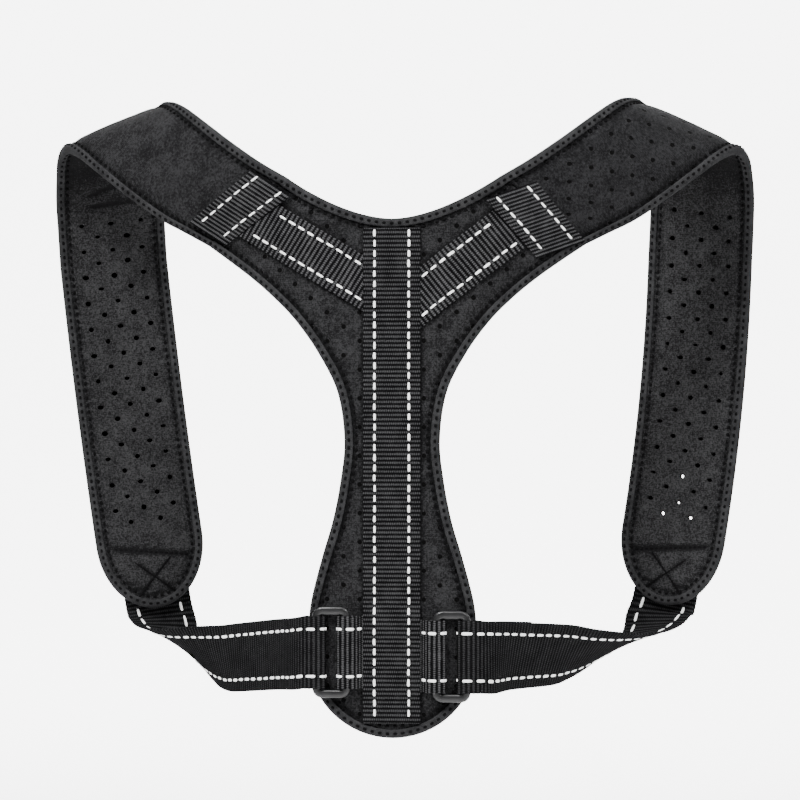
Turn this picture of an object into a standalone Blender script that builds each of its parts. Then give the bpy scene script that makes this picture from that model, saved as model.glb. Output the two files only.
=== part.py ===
"""A posture corrector: a padded Y-shaped back panel, two padded shoulder straps that go over the
shoulders and hang in front, and webbing that ties the foot of each strap to a ring on the panel.

X runs to the wearer's right, Y to the front and Z up. The origin is where the corrector sits:
midway between the shoulders, level with the underside of the straps at their top.
"""

from collections import Counter, namedtuple
from math import asin, atan2, cos, degrees, hypot, pi, radians, sin

import bmesh
import bpy
from mathutils import Matrix, Vector

# Worn form, in metres
SHOULDER_OUT = 0.172  # from the middle of the body to the middle of a strap, in front
DEPTH = 0.1275  # from the back panel to the straps in front
SEAT_SHARE = 0.60  # how far forward in that depth the straps are at their top
ARCH_RISE = 0.052  # height of the arch over each shoulder
STRAP_DROP = 0.163  # hanging length of a strap below the arch, to its round end
NECK_DROP = 0.0053  # from the feet of the arch down to the neck curve's lowest point
NECK_POWER = 1.75  # how sharply the neck curve turns up

# Padded pieces
STRAP_WIDTH = 0.062
STRAP_END = 0.040  # length of a strap's round end
STRAP_CROWN = 0.0015  # how far the middle of a strap stands out
PAD_THICKNESS = 0.004
EDGE_THICKNESS = 0.0026  # where the binding holds the pad flat
EDGE_SLOPE = 0.00875  # width over which a pad thins towards its edge
PANEL_HEIGHT = 0.275
PANEL_WIDTH = 0.090
WAIST_WIDTH = 0.0504
WAIST_DOWN = 0.1169  # from the neck curve to the waist
BACK_FLAT = 0.030  # half width of the panel's flat middle
BACK_POWER = 1.55  # how the panel's arms curve forward
BINDING_WIDTH = 0.0045
BINDING_WALL = 0.0007

# Perforations of the straps
HOLE_RADIUS = 0.00125
HOLE_ACROSS = 0.0085
HOLE_ALONG = 0.0076
HOLE_COLUMNS = 5
HOLE_ROWS = 24
HOLE_SIDES = 6

# Webbing
WEB_THICKNESS = 0.0013
CENTRE_WIDTH = 0.030
NARROW_WIDTH = 0.025
SIDE_WIDTH = 0.038
CROSS_WIDTH = 0.028
CROSS_LENGTH = 0.048
CENTRE_TOP = 0.0050  # from the neck curve down to the centre webbing
CENTRE_FOOT = 0.0080  # from the panel's foot up to the centre webbing
SEWN_LENGTH = 0.042  # side strap sewn on a shoulder strap
RETURN_LENGTH = 0.062  # side strap doubled back from its ring
TUCK = 0.0045  # ring tab under the edge of the centre webbing
TAB_RETURN = 0.0040  # inner layer of a ring tab

# Rings
RING_BAR = 0.0043
RING_THICKNESS = 0.0030
RING_SPAN = 0.0158  # between the middles of the two long bars
RING_SLACK = 0.0008  # beside the webbing, at each end of the slot
RING_CORNER = 0.0032
RING_OUT = 0.0318  # from the middle of the body to the middle of a ring

GAP = 0.0003

# The two sides were sewn and laid a little differently. reach, rise, dip, swing and drop are
# shares by which one side's strap differs from the table below and from STRAP_DROP. The leans are
# degrees that the strap hangs inwards, below the arch and at its round end. Diagonal and ring are
# shares of PANEL_HEIGHT below the neck curve. The cross webbing lies past the seam and away from
# the neck in shares of its length, and is turned by degrees. The side strap sags by a share of
# its table's sag, and a low curl makes it roll upright late.
Side = namedtuple("Side", "name sign reach rise dip swing drop lean_top lean_foot"
                          " diagonal_meets cross_past cross_off cross_turn ring_down sag curl")
SIDES = [
    Side("left", -1, 1.010, 0.985, 1.00, 1.0, 1.00, 6.2, 8.6, 0.124, 0.07, -0.02, 4, 0.834, 1.0, 1.0),
    Side("right", 1, 0.963, 0.955, 1.15, 1.5, 0.98, 1.8, 9.2, 0.152, -0.19, 0.04, -11, 0.841,
         0.76, 0.40),
]

# A strap from the seam at the back, over the shoulder and down to its hanging stretch in front.
# The middle of the strap: out in shares of SHOULDER_OUT, forward in shares of DEPTH, and up from
# the feet of the arch in shares of ARCH_RISE. The line across it, from the neck outwards: degrees
# that it dips below level, and degrees that it swings forward.
ArchRow = namedtuple("ArchRow", "out forward up dip swing")
ARCH = [
    ArchRow(0.462, 0.153, 0.00, 34, 29),
    ArchRow(0.550, 0.208, 0.17, 36, 30),
    ArchRow(0.640, 0.270, 0.36, 40, 27),
    ArchRow(0.738, 0.341, 0.60, 40, 21),
    ArchRow(0.833, 0.431, 0.84, 35, 12),
    ArchRow(0.897, 0.529, 0.97, 27, 6),
    ArchRow(0.946, 0.643, 1.00, 21, 0),
    ArchRow(0.980, 0.761, 0.88, 18, -5),
    ArchRow(0.996, 0.863, 0.65, 15, -9),
    ArchRow(1.004, 0.937, 0.34, 10, -13),
    ArchRow(1.003, 0.980, 0.00, 6.5, -14),
    ArchRow(0.998, 1.000, -0.41, 4.6, -14),
]
HANGING = len(ARCH) - 1  # where the arch ends and the strap hangs
SEWN_ALIKE = 4  # rows from the seam over which the two sides grow apart

# The outer edge of the panel's stem, from its foot up to the waist: shares of the way from the
# waist to the foot's widest place, down and out.
StemRow = namedtuple("StemRow", "down out")
STEM = [
    StemRow(1.000, 1.00),
    StemRow(0.875, 0.97),
    StemRow(0.752, 0.89),
    StemRow(0.566, 0.62),
    StemRow(0.380, 0.31),
    StemRow(0.190, 0.10),
    StemRow(0.000, 0.00),
]

# The panel's arm, from above the waist to the seam with the strap: where each row starts, on the
# centre line in shares of WAIST_DOWN below the neck curve or along the neck curve in shares of
# its width, and where it ends, on the outer edge in shares of the way from the waist to the seam.
YokeRow = namedtuple("YokeRow", "centre_down neck_out edge_out edge_up")
YOKE = [
    YokeRow(0.78, 0.00, 0.047, 0.237),
    YokeRow(0.51, 0.00, 0.180, 0.436),
    YokeRow(0.25, 0.00, 0.342, 0.602),
    YokeRow(0.00, 0.00, 0.505, 0.724),
    YokeRow(0.00, 0.35, 0.668, 0.825),
    YokeRow(0.00, 0.67, 0.831, 0.913),
    YokeRow(0.00, 1.00, 1.000, 1.000),
]

# A side strap from the foot of its shoulder strap, round a soft fold, to its ring. The middle:
# out, forward and rise in shares of the way from the ring's outer bar to the shoulder strap's
# foot, and how far it sags in shares of its width. The line across it: degrees that it rolls
# from upright, and degrees that it then swings forward.
SideRow = namedtuple("SideRow", "out forward rise sag roll swing")
SIDE_STRAP = [
    SideRow(0.972, 0.996, 1.00, 0.22, 90, -18),
    SideRow(0.940, 0.971, 0.90, 0.38, 75, -32),
    SideRow(0.885, 0.910, 0.75, 0.46, 60, -42),
    SideRow(0.802, 0.830, 0.60, 0.48, 46, -47),
    SideRow(0.720, 0.750, 0.49, 0.47, 33, -48),
    SideRow(0.640, 0.665, 0.40, 0.45, 21, -49),
    SideRow(0.550, 0.575, 0.32, 0.41, 11, -49),
    SideRow(0.450, 0.470, 0.25, 0.33, 4, -49),
    SideRow(0.230, 0.235, 0.10, 0.15, 1, -49),
    SideRow(0.125, 0.082, 0.03, 0.06, 0, -49),
    SideRow(0.068, 0.024, 0.00, 0.01, 0, -49),
    SideRow(0.020, 0.001, 0.00, 0.00, 0, -49),
]

STRAP_HALF = STRAP_WIDTH / 2
PAD_HALF = PAD_THICKNESS / 2
EDGE_HALF = EDGE_THICKNESS / 2
EDGE_INSET = BINDING_WALL + GAP
BACK_Y = -SEAT_SHARE * DEPTH
FEET_Z = PAD_HALF - STRAP_CROWN - ARCH_RISE
NECK_Z = FEET_Z - NECK_DROP
FOOT_Z = NECK_Z - PANEL_HEIGHT
FOOT_RADIUS = PANEL_WIDTH / 2
WAIST = (WAIST_WIDTH / 2, NECK_Z - WAIST_DOWN)
STEM_FOOT = (FOOT_RADIUS, FOOT_Z + FOOT_RADIUS)
UP = Vector((0, 0, 1))


def blend(start, end, share):
    return start + (end - start) * share


def smooth(rows, place):
    """The values at a place counted in rows, on a curve that passes through every row."""
    last = len(rows) - 1
    low = min(max(int(place), 0), last - 1)
    step = place - low
    made = []
    for column in range(len(rows[0])):
        here, there = rows[low][column], rows[low + 1][column]
        before = rows[low - 1][column] if low > 0 else 2 * here - there
        after = rows[low + 2][column] if low + 2 <= last else 2 * there - here
        bend = 2 * before - 5 * here + 4 * there - after
        twist = 3 * (here - there) + after - before
        made.append(here + step / 2 * (there - before + step * (bend + step * twist)))
    return made


def turned(first, second):
    """A level direction swung by the second angle and dipped by the first, in degrees."""
    level = Vector((cos(radians(second)), sin(radians(second)), 0))
    return level * cos(radians(first)) - UP * sin(radians(first))


class Strap:
    """One shoulder strap as a surface, drawn for the wearer's right."""

    steps = 240

    def __init__(self, side):
        self.side = side
        self.distances = [0.0]
        for step in range(self.steps):
            reach = (self.arch(self.place(step + 1))[0] - self.arch(self.place(step))[0]).length
            self.distances.append(self.distances[-1] + reach)
        self.arch_length = self.distances[-1]
        self.length = self.arch_length + STRAP_DROP * side.drop

    def place(self, step):
        return step * HANGING / self.steps

    def arch(self, place):
        """The middle of the strap and the line across it, at a place counted in ARCH's rows."""
        side = self.side
        out, forward, up, dip, swing = smooth(ARCH, place)
        apart = min(place / SEWN_ALIKE, 1)
        out = ARCH[0].out + (out - ARCH[0].out) * side.reach
        dip *= blend(1, side.dip, apart)
        if place > HANGING - 1:
            dip = blend(dip, side.lean_top, place - HANGING + 1)
        if swing < 0:
            swing *= side.swing
        middle = Vector((out * SHOULDER_OUT, BACK_Y + forward * DEPTH,
                         FEET_Z + up * ARCH_RISE * side.rise))
        return middle, turned(dip, swing)

    def middle(self, distance):
        """The middle and the line across it, at a distance from the seam at the back."""
        if distance <= 0:
            middle, across = self.arch(0)
            ahead = (self.arch(0.1)[0] - middle).normalized()
            return middle + ahead * distance, across
        if distance >= self.arch_length:
            return self.hanging(distance - self.arch_length)
        step = sum(length <= distance for length in self.distances) - 1
        inside = distance - self.distances[step]
        share = inside / (self.distances[step + 1] - self.distances[step])
        return self.arch(self.place(step + share))

    def hanging(self, down):
        """Below the arch, where the strap's lean grows steadily."""
        middle, across = self.arch(HANGING)
        top, foot = radians(self.side.lean_top), radians(self.side.lean_foot)
        growth = (foot - top) / (self.length - self.arch_length)
        lean = top + growth * down
        inwards, downwards = (cos(top) - cos(lean)) / growth, (sin(lean) - sin(top)) / growth
        swing = degrees(atan2(across.y, across.x))
        return middle - Vector((inwards, 0, downwards)), turned(degrees(lean), swing)

    def point(self, distance, sideways, lift):
        """A place on the strap: sideways from its middle, away from the neck, and lifted."""
        middle, across = self.middle(distance)
        along = self.middle(distance + 0.002)[0] - self.middle(distance - 0.002)[0]
        outward = across.cross(along).normalized()
        crown = STRAP_CROWN * (1 - (sideways / STRAP_HALF) ** 2)
        return middle + across * sideways + outward * (crown + lift)


STRAPS = {side.name: Strap(side) for side in SIDES}
SEAM_NECK = STRAPS["right"].point(0, -STRAP_HALF, 0)
SEAM_ARM = STRAPS["right"].point(0, STRAP_HALF, 0)


def back_point(out, height, lift):
    """A place on the panel: out from the centre line, at a height, and lifted outwards."""
    past = max(abs(out) - BACK_FLAT, 0)
    reach = SEAM_ARM.x - BACK_FLAT
    depth = SEAM_ARM.y - BACK_Y
    forward = depth * (past / reach) ** BACK_POWER
    slope = depth * BACK_POWER / reach * (past / reach) ** (BACK_POWER - 1)
    outward = Vector((slope if out > 0 else -slope, -1, 0)).normalized()
    return Vector((out, BACK_Y + forward, height)) + outward * lift


def neck_height(out):
    return blend(NECK_Z, SEAM_NECK.z, (abs(out) / SEAM_NECK.x) ** NECK_POWER)


def panel_rows(steps):
    """The rows of half the panel, from the widest place of its foot up to the seam, each as the
    place where it starts, on the centre line or the neck curve, and where it ends."""
    starts, ends = [], []
    for row in STEM:
        height = blend(WAIST[1], STEM_FOOT[1], row.down)
        starts.append((0, height))
        ends.append((blend(WAIST[0], STEM_FOOT[0], row.out), height))
    for row in YOKE:
        starts.append((row.neck_out * SEAM_NECK.x, NECK_Z - row.centre_down * WAIST_DOWN))
        out = blend(WAIST[0], SEAM_ARM.x, row.edge_out)
        ends.append((out, blend(WAIST[1], SEAM_ARM.z, row.edge_up)))
    rows = []
    for step in range((len(starts) - 1) * steps + 1):
        low = min(step // steps, len(starts) - 2)
        share = step / steps - low
        out = blend(starts[low][0], starts[low + 1][0], share)
        height = blend(starts[low][1], starts[low + 1][1], share)
        start = (out, neck_height(out) if out > 0 else height)
        rows.append((start, tuple(smooth(ends, step / steps))))
    return rows


def round_foot(radius, middle, steps):
    """Quarter circle of places, from the widest place of the panel's foot to its lowest."""
    angles = [pi / 2 * step / steps for step in range(steps + 1)]
    return [(radius * cos(turn), middle - radius * sin(turn)) for turn in angles]


PANEL_EDGE = round_foot(FOOT_RADIUS, STEM_FOOT[1], 9)[::-1]
PANEL_EDGE += [end for start, end in panel_rows(2)][1:]
NECK_EDGE = [start for start, end in panel_rows(2) if start[1] >= NECK_Z]


def inward_of(edge, place, inner):
    """Unit direction square to an edge at one of its places, towards the side of an inner place."""
    before, after = edge[max(place - 1, 0)], edge[min(place + 1, len(edge) - 1)]
    run = Vector((after[0] - before[0], after[1] - before[1])).normalized()
    square = Vector((-run.y, run.x))
    towards = Vector((inner[0] - edge[place][0], inner[1] - edge[place][1]))
    return square if square.dot(towards) > 0 else -square


def distance_to(edge, place):
    """Shortest way from a place to an edge given as a line of places."""
    here = Vector(place)
    nearest = 1.0
    for first, second in zip(edge, edge[1:]):
        start, run = Vector(first), Vector(second) - Vector(first)
        share = min(max((here - start).dot(run) / run.length_squared, 0), 1)
        nearest = min(nearest, (here - start - run * share).length)
    return nearest


def half_thickness(inset):
    """Half the pad's thickness at a distance in from the edge of its binding."""
    share = min(max((inset - EDGE_INSET) / EDGE_SLOPE, 0), 1)
    return blend(EDGE_HALF, PAD_HALF, share)


def material(name, colour, roughness):
    made = bpy.data.materials.new(name)
    made.use_nodes = True
    shader = made.node_tree.nodes["Principled BSDF"]
    shader.inputs["Base Color"].default_value = (*colour, 1)
    shader.inputs["Roughness"].default_value = roughness
    shader.inputs["Metallic"].default_value = 0
    made.diffuse_color = (*colour, 1)
    return made


def finish(name, mesh_data, made, carrier, sharp):
    """Turns the faces outwards and puts the piece in the scene."""
    bmesh.ops.recalc_face_normals(mesh_data, faces=mesh_data.faces)
    mesh = bpy.data.meshes.new(name)
    mesh_data.to_mesh(mesh)
    mesh_data.free()
    mesh.shade_smooth()
    mesh.set_sharp_from_angle(angle=radians(sharp))
    mesh.materials.append(made)
    piece = bpy.data.objects.new(name, mesh)
    bpy.context.scene.collection.objects.link(piece)
    piece.parent = carrier
    return piece


def shell(faces, outer, inner, mirrored=False):
    """A closed solid between two like sheets, with a wall along every free edge. A mirrored one
    is half the piece, open on the centre plane, and gets its other half there."""
    made = bmesh.new()
    outside = [made.verts.new(point) for point in outer]
    inside = [made.verts.new(point) for point in inner]
    uses = Counter(frozenset(pair) for face in faces for pair in zip(face, face[1:] + face[:1]))
    for face in faces:
        made.faces.new([outside[corner] for corner in face])
        made.faces.new([inside[corner] for corner in reversed(face)])
        for start, end in zip(face, face[1:] + face[:1]):
            on_centre = abs(outer[start].x) < 1e-7 and abs(outer[end].x) < 1e-7
            if uses[frozenset((start, end))] == 1 and not (mirrored and on_centre):
                made.faces.new([outside[end], outside[start], inside[start], inside[end]])
    if mirrored:
        bmesh.ops.mirror(made, geom=made.verts[:] + made.edges[:] + made.faces[:],
                         matrix=Matrix.Identity(4), merge_dist=1e-6, axis="X")
    return made


def grid_faces(rows, columns):
    """Four-cornered faces of a grid whose points are numbered row by row."""
    faces = []
    for row in range(rows - 1):
        for column in range(columns - 1):
            corner = row * columns + column
            faces.append([corner, corner + 1, corner + columns + 1, corner + columns])
    return faces


def on_side(points, sign):
    return [Vector((point.x * sign, point.y, point.z)) for point in points]


def panel_grid():
    """Places of half the panel inside its binding, row by row from the foot's lowest place up."""
    steps = 2
    rows = panel_rows(steps)
    ends = [end for start, end in rows]
    starts = [start for start, end in rows]
    first_on_neck = [start[1] >= NECK_Z for start in starts].index(True)
    neck = starts[first_on_neck:]
    shares = [0, 0.22, 0.5, 0.78, 1]
    core = FOOT_RADIUS - EDGE_INSET
    grid = []
    for turn in (66, 48, 30, 14):
        half, depth = core * cos(radians(turn)), core * sin(radians(turn))
        rounding = turn / 66
        row = []
        for share in shares:
            out = half * share
            arc = (core**2 - out**2) ** 0.5
            row.append((out, STEM_FOOT[1] - blend(depth, arc, rounding)))
        grid.append(row)
    for place, (start, end) in enumerate(rows):
        inward = inward_of(ends, place, start)
        edge = Vector(end) + inward * EDGE_INSET
        begin = Vector(start)
        if place >= first_on_neck:
            down = inward_of(neck, place - first_on_neck, end)
            if place == first_on_neck:
                down = Vector((0, -1))
            begin = begin + down * EDGE_INSET
        if place == len(rows) - 1:
            core = STRAP_HALF - EDGE_INSET
            begin, edge = (STRAPS["right"].point(-GAP / 2, off, 0) for off in (-core, core))
            begin, edge = Vector((begin.x, begin.z)), Vector((edge.x, edge.z))
        grid.append([tuple(begin.lerp(edge, share)) for share in shares])
    return grid


def back_panel(made, carrier):
    grid = panel_grid()
    places = [place for row in grid for place in row]
    halves = [half_thickness(min(distance_to(PANEL_EDGE, place), distance_to(NECK_EDGE, place)))
              for place in places]
    outer = [back_point(*place, half) for place, half in zip(places, halves)]
    inner = [back_point(*place, -half) for place, half in zip(places, halves)]
    solid = shell(grid_faces(len(grid), len(grid[0])), outer, inner, mirrored=True)
    finish("back_panel", solid, made, carrier, 40)


def strap_rows(strap):
    """Distances of a strap's rows, and the numbers of those that hold perforations."""
    first_hole = strap.length - (HOLE_ROWS + 1) * HOLE_ALONG
    plain_rows = round(first_hole / (1.2 * HOLE_ALONG))
    distances = [blend(GAP / 2, first_hole, row / plain_rows) for row in range(plain_rows)]
    distances += [first_hole + row * HOLE_ALONG for row in range(HOLE_ROWS + 2)]
    return distances, range(plain_rows, plain_rows + HOLE_ROWS)


def strap_grid(strap):
    """Places of a strap inside its binding, row by row."""
    core, end = STRAP_HALF - EDGE_INSET, STRAP_END - EDGE_INSET
    lattice = [(column - HOLE_COLUMNS / 2) * HOLE_ACROSS for column in range(HOLE_COLUMNS + 1)]
    columns = [-core] + lattice + [core]
    distances = strap_rows(strap)[0]
    grid = [[(distance, sideways) for sideways in columns] for distance in distances]
    for turn in (18, 36, 54, 68):
        half = core * cos(radians(turn))
        row = []
        for sideways in columns:
            place = sideways * half / core
            arc = end * (1 - (place / core) ** 2) ** 0.5
            row.append((strap.length + blend(end * sin(radians(turn)), arc, turn / 68), place))
        grid.append(row)
    return grid


def strap_inset(strap, distance, sideways):
    """Way in from the outside of the binding on a strap."""
    past = max(distance - strap.length, 0)
    return STRAP_HALF * (1 - hypot(past / STRAP_END, sideways / STRAP_HALF))


def strap_places(strap):
    """Places and faces of a strap, with a ring of corners round each perforation."""
    grid, hole_rows = strap_grid(strap), strap_rows(strap)[1]
    columns = len(grid[0])
    places = [place for row in grid for place in row]
    faces = []
    for face in grid_faces(len(grid), columns):
        row, column = divmod(face[0], columns)
        pierced = row in hole_rows and 1 <= column <= HOLE_COLUMNS
        if not pierced or (row - hole_rows.start + column - 1) % 2:
            faces.append(face)
            continue
        middle = [sum(places[corner][axis] for corner in face) / 4 for axis in (0, 1)]
        ring = []
        for side in range(HOLE_SIDES):
            turn = 2 * pi * side / HOLE_SIDES + pi / 2
            ring.append(len(places))
            places.append((middle[0] - HOLE_RADIUS * cos(turn), middle[1] + HOLE_RADIUS * sin(turn)))
        far = HOLE_SIDES // 2
        near_side = [face[3], face[0], face[1], ring[0]] + ring[:far - 1:-1]
        far_side = [face[1], face[2], face[3]] + ring[far::-1]
        faces += [near_side, far_side]
    return places, faces


def shoulder_strap(side, made, carrier):
    strap = STRAPS[side.name]
    places, faces = strap_places(strap)
    halves = [half_thickness(strap_inset(strap, *place)) for place in places]
    outer = [strap.point(*place, half) for place, half in zip(places, halves)]
    inner = [strap.point(*place, -half) for place, half in zip(places, halves)]
    solid = shell(faces, on_side(outer, side.sign), on_side(inner, side.sign))
    finish("shoulder_strap_" + side.name, solid, made, carrier, 40)


def binding_section(surface, place, inward):
    """The folded tape round an edge: its eight corners, at one place of the edge."""
    leg = half_thickness(BINDING_WIDTH) + GAP
    root = EDGE_HALF + GAP
    profile = [
        (BINDING_WIDTH, leg + BINDING_WALL), (0, root + BINDING_WALL / 2),
        (0, -root - BINDING_WALL / 2), (BINDING_WIDTH, -leg - BINDING_WALL),
        (BINDING_WIDTH, -leg), (BINDING_WALL, -root), (BINDING_WALL, root), (BINDING_WIDTH, leg),
    ]
    return [surface(place[0] + inward[0] * inset, place[1] + inward[1] * inset, lift)
            for inset, lift in profile]


def binding_sections(strap):
    """Sections from the neck curve's lowest place, along a strap and back, to the panel's foot."""
    sections = []
    for place, spot in enumerate(NECK_EDGE[:-1]):
        inward = (0, -1) if place == 0 else inward_of(NECK_EDGE, place, (spot[0], FOOT_Z))
        sections.append(binding_section(back_point, spot, inward))
    end_steps = 16
    down = [distance for row, distance in enumerate(strap_rows(strap)[0][:-2])
            if distance < strap.arch_length or row % 4 == 0]
    down[0] = 0
    for distance in down:
        sections.append(binding_section(strap.point, (distance, -STRAP_HALF), (0, 1)))
    for step in range(end_steps + 1):
        turn = pi * step / end_steps
        spot = (strap.length + STRAP_END * sin(turn), -STRAP_HALF * cos(turn))
        inward = Vector((-STRAP_HALF * sin(turn), STRAP_END * cos(turn))).normalized()
        sections.append(binding_section(strap.point, spot, inward))
    for distance in reversed(down):
        sections.append(binding_section(strap.point, (distance, STRAP_HALF), (0, -1)))
    for place in reversed(range(len(PANEL_EDGE) - 1)):
        spot = PANEL_EDGE[place]
        inward = (0, 1) if place == 0 else inward_of(PANEL_EDGE, place, (0, spot[1] + 1e-4))
        sections.append(binding_section(back_point, spot, inward))
    return sections


def loft(sections, closed):
    """A solid through like sections, with its ends capped unless it runs round to its start."""
    made = bmesh.new()
    rings = [[made.verts.new(point) for point in section] for section in sections]
    following = rings[1:] + rings[:1] if closed else rings[1:]
    for ring, ahead in zip(rings, following):
        for corner in range(len(ring)):
            after = (corner + 1) % len(ring)
            made.faces.new([ring[corner], ring[after], ahead[after], ahead[corner]])
    if not closed:
        made.faces.new(rings[0])
        made.faces.new(rings[-1])
    return made


def edge_binding(made, carrier):
    left, right = (binding_sections(STRAPS[side.name]) for side in SIDES)
    left = [on_side(section, -1) for section in left[-2:0:-1]]
    finish("edge_binding", loft(right + left, closed=True), made, carrier, 35)


def ribbon(rows, width, thickness):
    """A flat strap through rows of (middle, across, outward)."""
    sections = []
    for middle, across, outward in rows:
        half, lift = across * width / 2, outward * thickness / 2
        sections.append([middle - half + lift, middle + half + lift,
                         middle + half - lift, middle - half - lift])
    return loft(sections, closed=False)


ON_PANEL = PAD_HALF + GAP + WEB_THICKNESS / 2
WEB_STEP = WEB_THICKNESS + GAP
OVER_BINDING = half_thickness(BINDING_WIDTH) + BINDING_WALL + 2 * GAP
RING_LIFT = OVER_BINDING + WEB_THICKNESS + GAP + RING_THICKNESS / 2
FOLD_RADIUS = RING_THICKNESS / 2 + GAP + WEB_THICKNESS / 2


def ring_height(side):
    return NECK_Z - side.ring_down * PANEL_HEIGHT


def centre_webbing(made, carrier):
    """Lies down the middle of the panel, and stands up over the ends of the ring tabs."""
    top, foot = NECK_Z - CENTRE_TOP, FOOT_Z + CENTRE_FOOT
    ramp = SIDE_WIDTH / 5
    over = [ring_height(side) for side in SIDES]
    tab_top = max(over) + SIDE_WIDTH / 2 + GAP
    tab_foot = min(over) - SIDE_WIDTH / 2 - GAP
    heights = [blend(top, tab_top + ramp, step / 14) for step in range(14)]
    heights += [blend(tab_top + ramp, tab_top, step / 4) for step in range(4)]
    heights += [tab_top, tab_foot]
    heights += [blend(tab_foot, foot, step / 4) for step in range(1, 5)]
    rows = []
    for height in heights:
        off = max(height - tab_top, tab_foot - height, 0)
        share = min(off / ramp, 1)
        rise = WEB_STEP * (1 - share * share * (3 - 2 * share))
        rows.append((back_point(0, height, ON_PANEL + rise), Vector((1, 0, 0)), Vector((0, -1, 0))))
    finish("centre_webbing", ribbon(rows, CENTRE_WIDTH, WEB_THICKNESS), made, carrier, 35)


def cross_point(side, along, sideways, lift):
    """A place on the webbing that covers a seam, on whichever of panel and strap stands out."""
    turn = radians(side.cross_turn)
    distance = along * cos(turn) + sideways * sin(turn) + side.cross_past * CROSS_LENGTH
    off = sideways * cos(turn) - along * sin(turn) + side.cross_off * CROSS_LENGTH
    point = STRAPS[side.name].point(distance, off, lift)
    if distance < 0:
        point.y = min(point.y, back_point(point.x, point.z, lift).y)
    return point


def cross_webbing(side, made, carrier):
    steps_along, steps_across = 6, 8
    outer, inner = [], []
    for row in range(steps_along + 1):
        along = blend(-CROSS_WIDTH / 2, CROSS_WIDTH / 2, row / steps_along)
        for column in range(steps_across + 1):
            sideways = blend(-CROSS_LENGTH / 2, CROSS_LENGTH / 2, column / steps_across)
            base = ON_PANEL + 5 * GAP
            outer.append(cross_point(side, along, sideways, base + WEB_THICKNESS / 2))
            inner.append(cross_point(side, along, sideways, base - WEB_THICKNESS / 2))
    faces = grid_faces(steps_along + 1, steps_across + 1)
    solid = shell(faces, on_side(outer, side.sign), on_side(inner, side.sign))
    finish("cross_webbing_" + side.name, solid, made, carrier, 35)


def diagonal_webbing(side, made, carrier):
    """From the edge of the centre webbing up to the edge of the cross webbing."""
    corners = [cross_point(side, -CROSS_WIDTH / 2, end * CROSS_LENGTH / 2, 0) for end in (-1, 1)]
    near, far = (Vector((point.x, point.z)) for point in corners)
    stop = (far - near).normalized()
    middle = (near + far) / 2
    begin = Vector((CENTRE_WIDTH / 2 + GAP, NECK_Z - side.diagonal_meets * PANEL_HEIGHT))
    run = (middle - begin).normalized()
    square = Vector((-run.y, run.x))
    steps_along, steps_across = 8, 2
    outer, inner = [], []
    for column in range(steps_across + 1):
        off = square * blend(-NARROW_WIDTH / 2, NARROW_WIDTH / 2, column / steps_across)
        start = begin + off - run * (off.x / run.x)
        towards = near - start
        reach = (towards.x * stop.y - towards.y * stop.x) / (run.x * stop.y - run.y * stop.x)
        for row in range(steps_along + 1):
            spot = start + run * (reach - 2 * GAP) * row / steps_along
            outer.append(back_point(*spot, ON_PANEL + WEB_THICKNESS / 2))
            inner.append(back_point(*spot, ON_PANEL - WEB_THICKNESS / 2))
    faces = grid_faces(steps_across + 1, steps_along + 1)
    solid = shell(faces, on_side(outer, side.sign), on_side(inner, side.sign))
    finish("diagonal_webbing_" + side.name, solid, made, carrier, 35)


def ring(side, made, carrier):
    """A rectangular ring of flat bar, lying against the panel."""
    half_out = RING_SPAN / 2
    half_up = SIDE_WIDTH / 2 + RING_SLACK + RING_BAR / 2
    chamfer = RING_THICKNESS * 0.3
    wide, deep = RING_BAR / 2, RING_THICKNESS / 2
    profile = [(wide, deep - chamfer), (wide - chamfer, deep), (chamfer - wide, deep),
               (-wide, deep - chamfer), (-wide, chamfer - deep), (chamfer - wide, -deep),
               (wide - chamfer, -deep), (wide, chamfer - deep)]
    corner_steps = 3
    sections = []
    for quarter in range(4):
        x_sign = 1 if quarter in (0, 3) else -1
        z_sign = 1 if quarter in (0, 1) else -1
        for step in range(corner_steps + 1):
            turn = pi / 2 * (quarter + step / corner_steps)
            out = x_sign * (half_out - RING_CORNER) + RING_CORNER * cos(turn)
            up = z_sign * (half_up - RING_CORNER) + RING_CORNER * sin(turn)
            middle = Vector((RING_OUT + out, BACK_Y - RING_LIFT, ring_height(side) + up))
            square = Vector((cos(turn), 0, sin(turn)))
            sections.append([middle + square * off - Vector((0, rise, 0)) for off, rise in profile])
    solid = loft([on_side(section, side.sign) for section in sections], closed=True)
    finish("ring_" + side.name, solid, made, carrier, 50)


def fold_round(bar_out, height, opens):
    """Rows of webbing over a long bar, round it on the slot's side, and back beneath it. opens is
    1 where the slot lies outwards of the bar and -1 where it lies inwards."""
    flat = (RING_BAR - RING_THICKNESS) / 2
    rows = []
    for step in range(7):
        turn = pi * step / 6
        out = bar_out + opens * (flat + FOLD_RADIUS * sin(turn))
        outward = Vector((opens * sin(turn), -cos(turn), 0))
        middle = Vector((out, BACK_Y - RING_LIFT - FOLD_RADIUS * cos(turn), height))
        rows.append((middle, UP, outward))
    return rows


def path_rows(points, height, outward_sign):
    """Rows of upright webbing through places seen from above."""
    rows = []
    for place, (out, depth) in enumerate(points):
        before, after = points[max(place - 1, 0)], points[min(place + 1, len(points) - 1)]
        run = Vector((after[0] - before[0], after[1] - before[1], 0)).normalized()
        outward = Vector((-run.y, -run.x, 0)) * outward_sign
        rows.append((Vector((out, BACK_Y - depth, height)), UP, outward))
    return rows


def plan_curve(points, steps):
    """A smooth curve through places seen from above."""
    count = (len(points) - 1) * steps
    return [tuple(smooth(points, step / steps)) for step in range(count + 1)]


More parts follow.
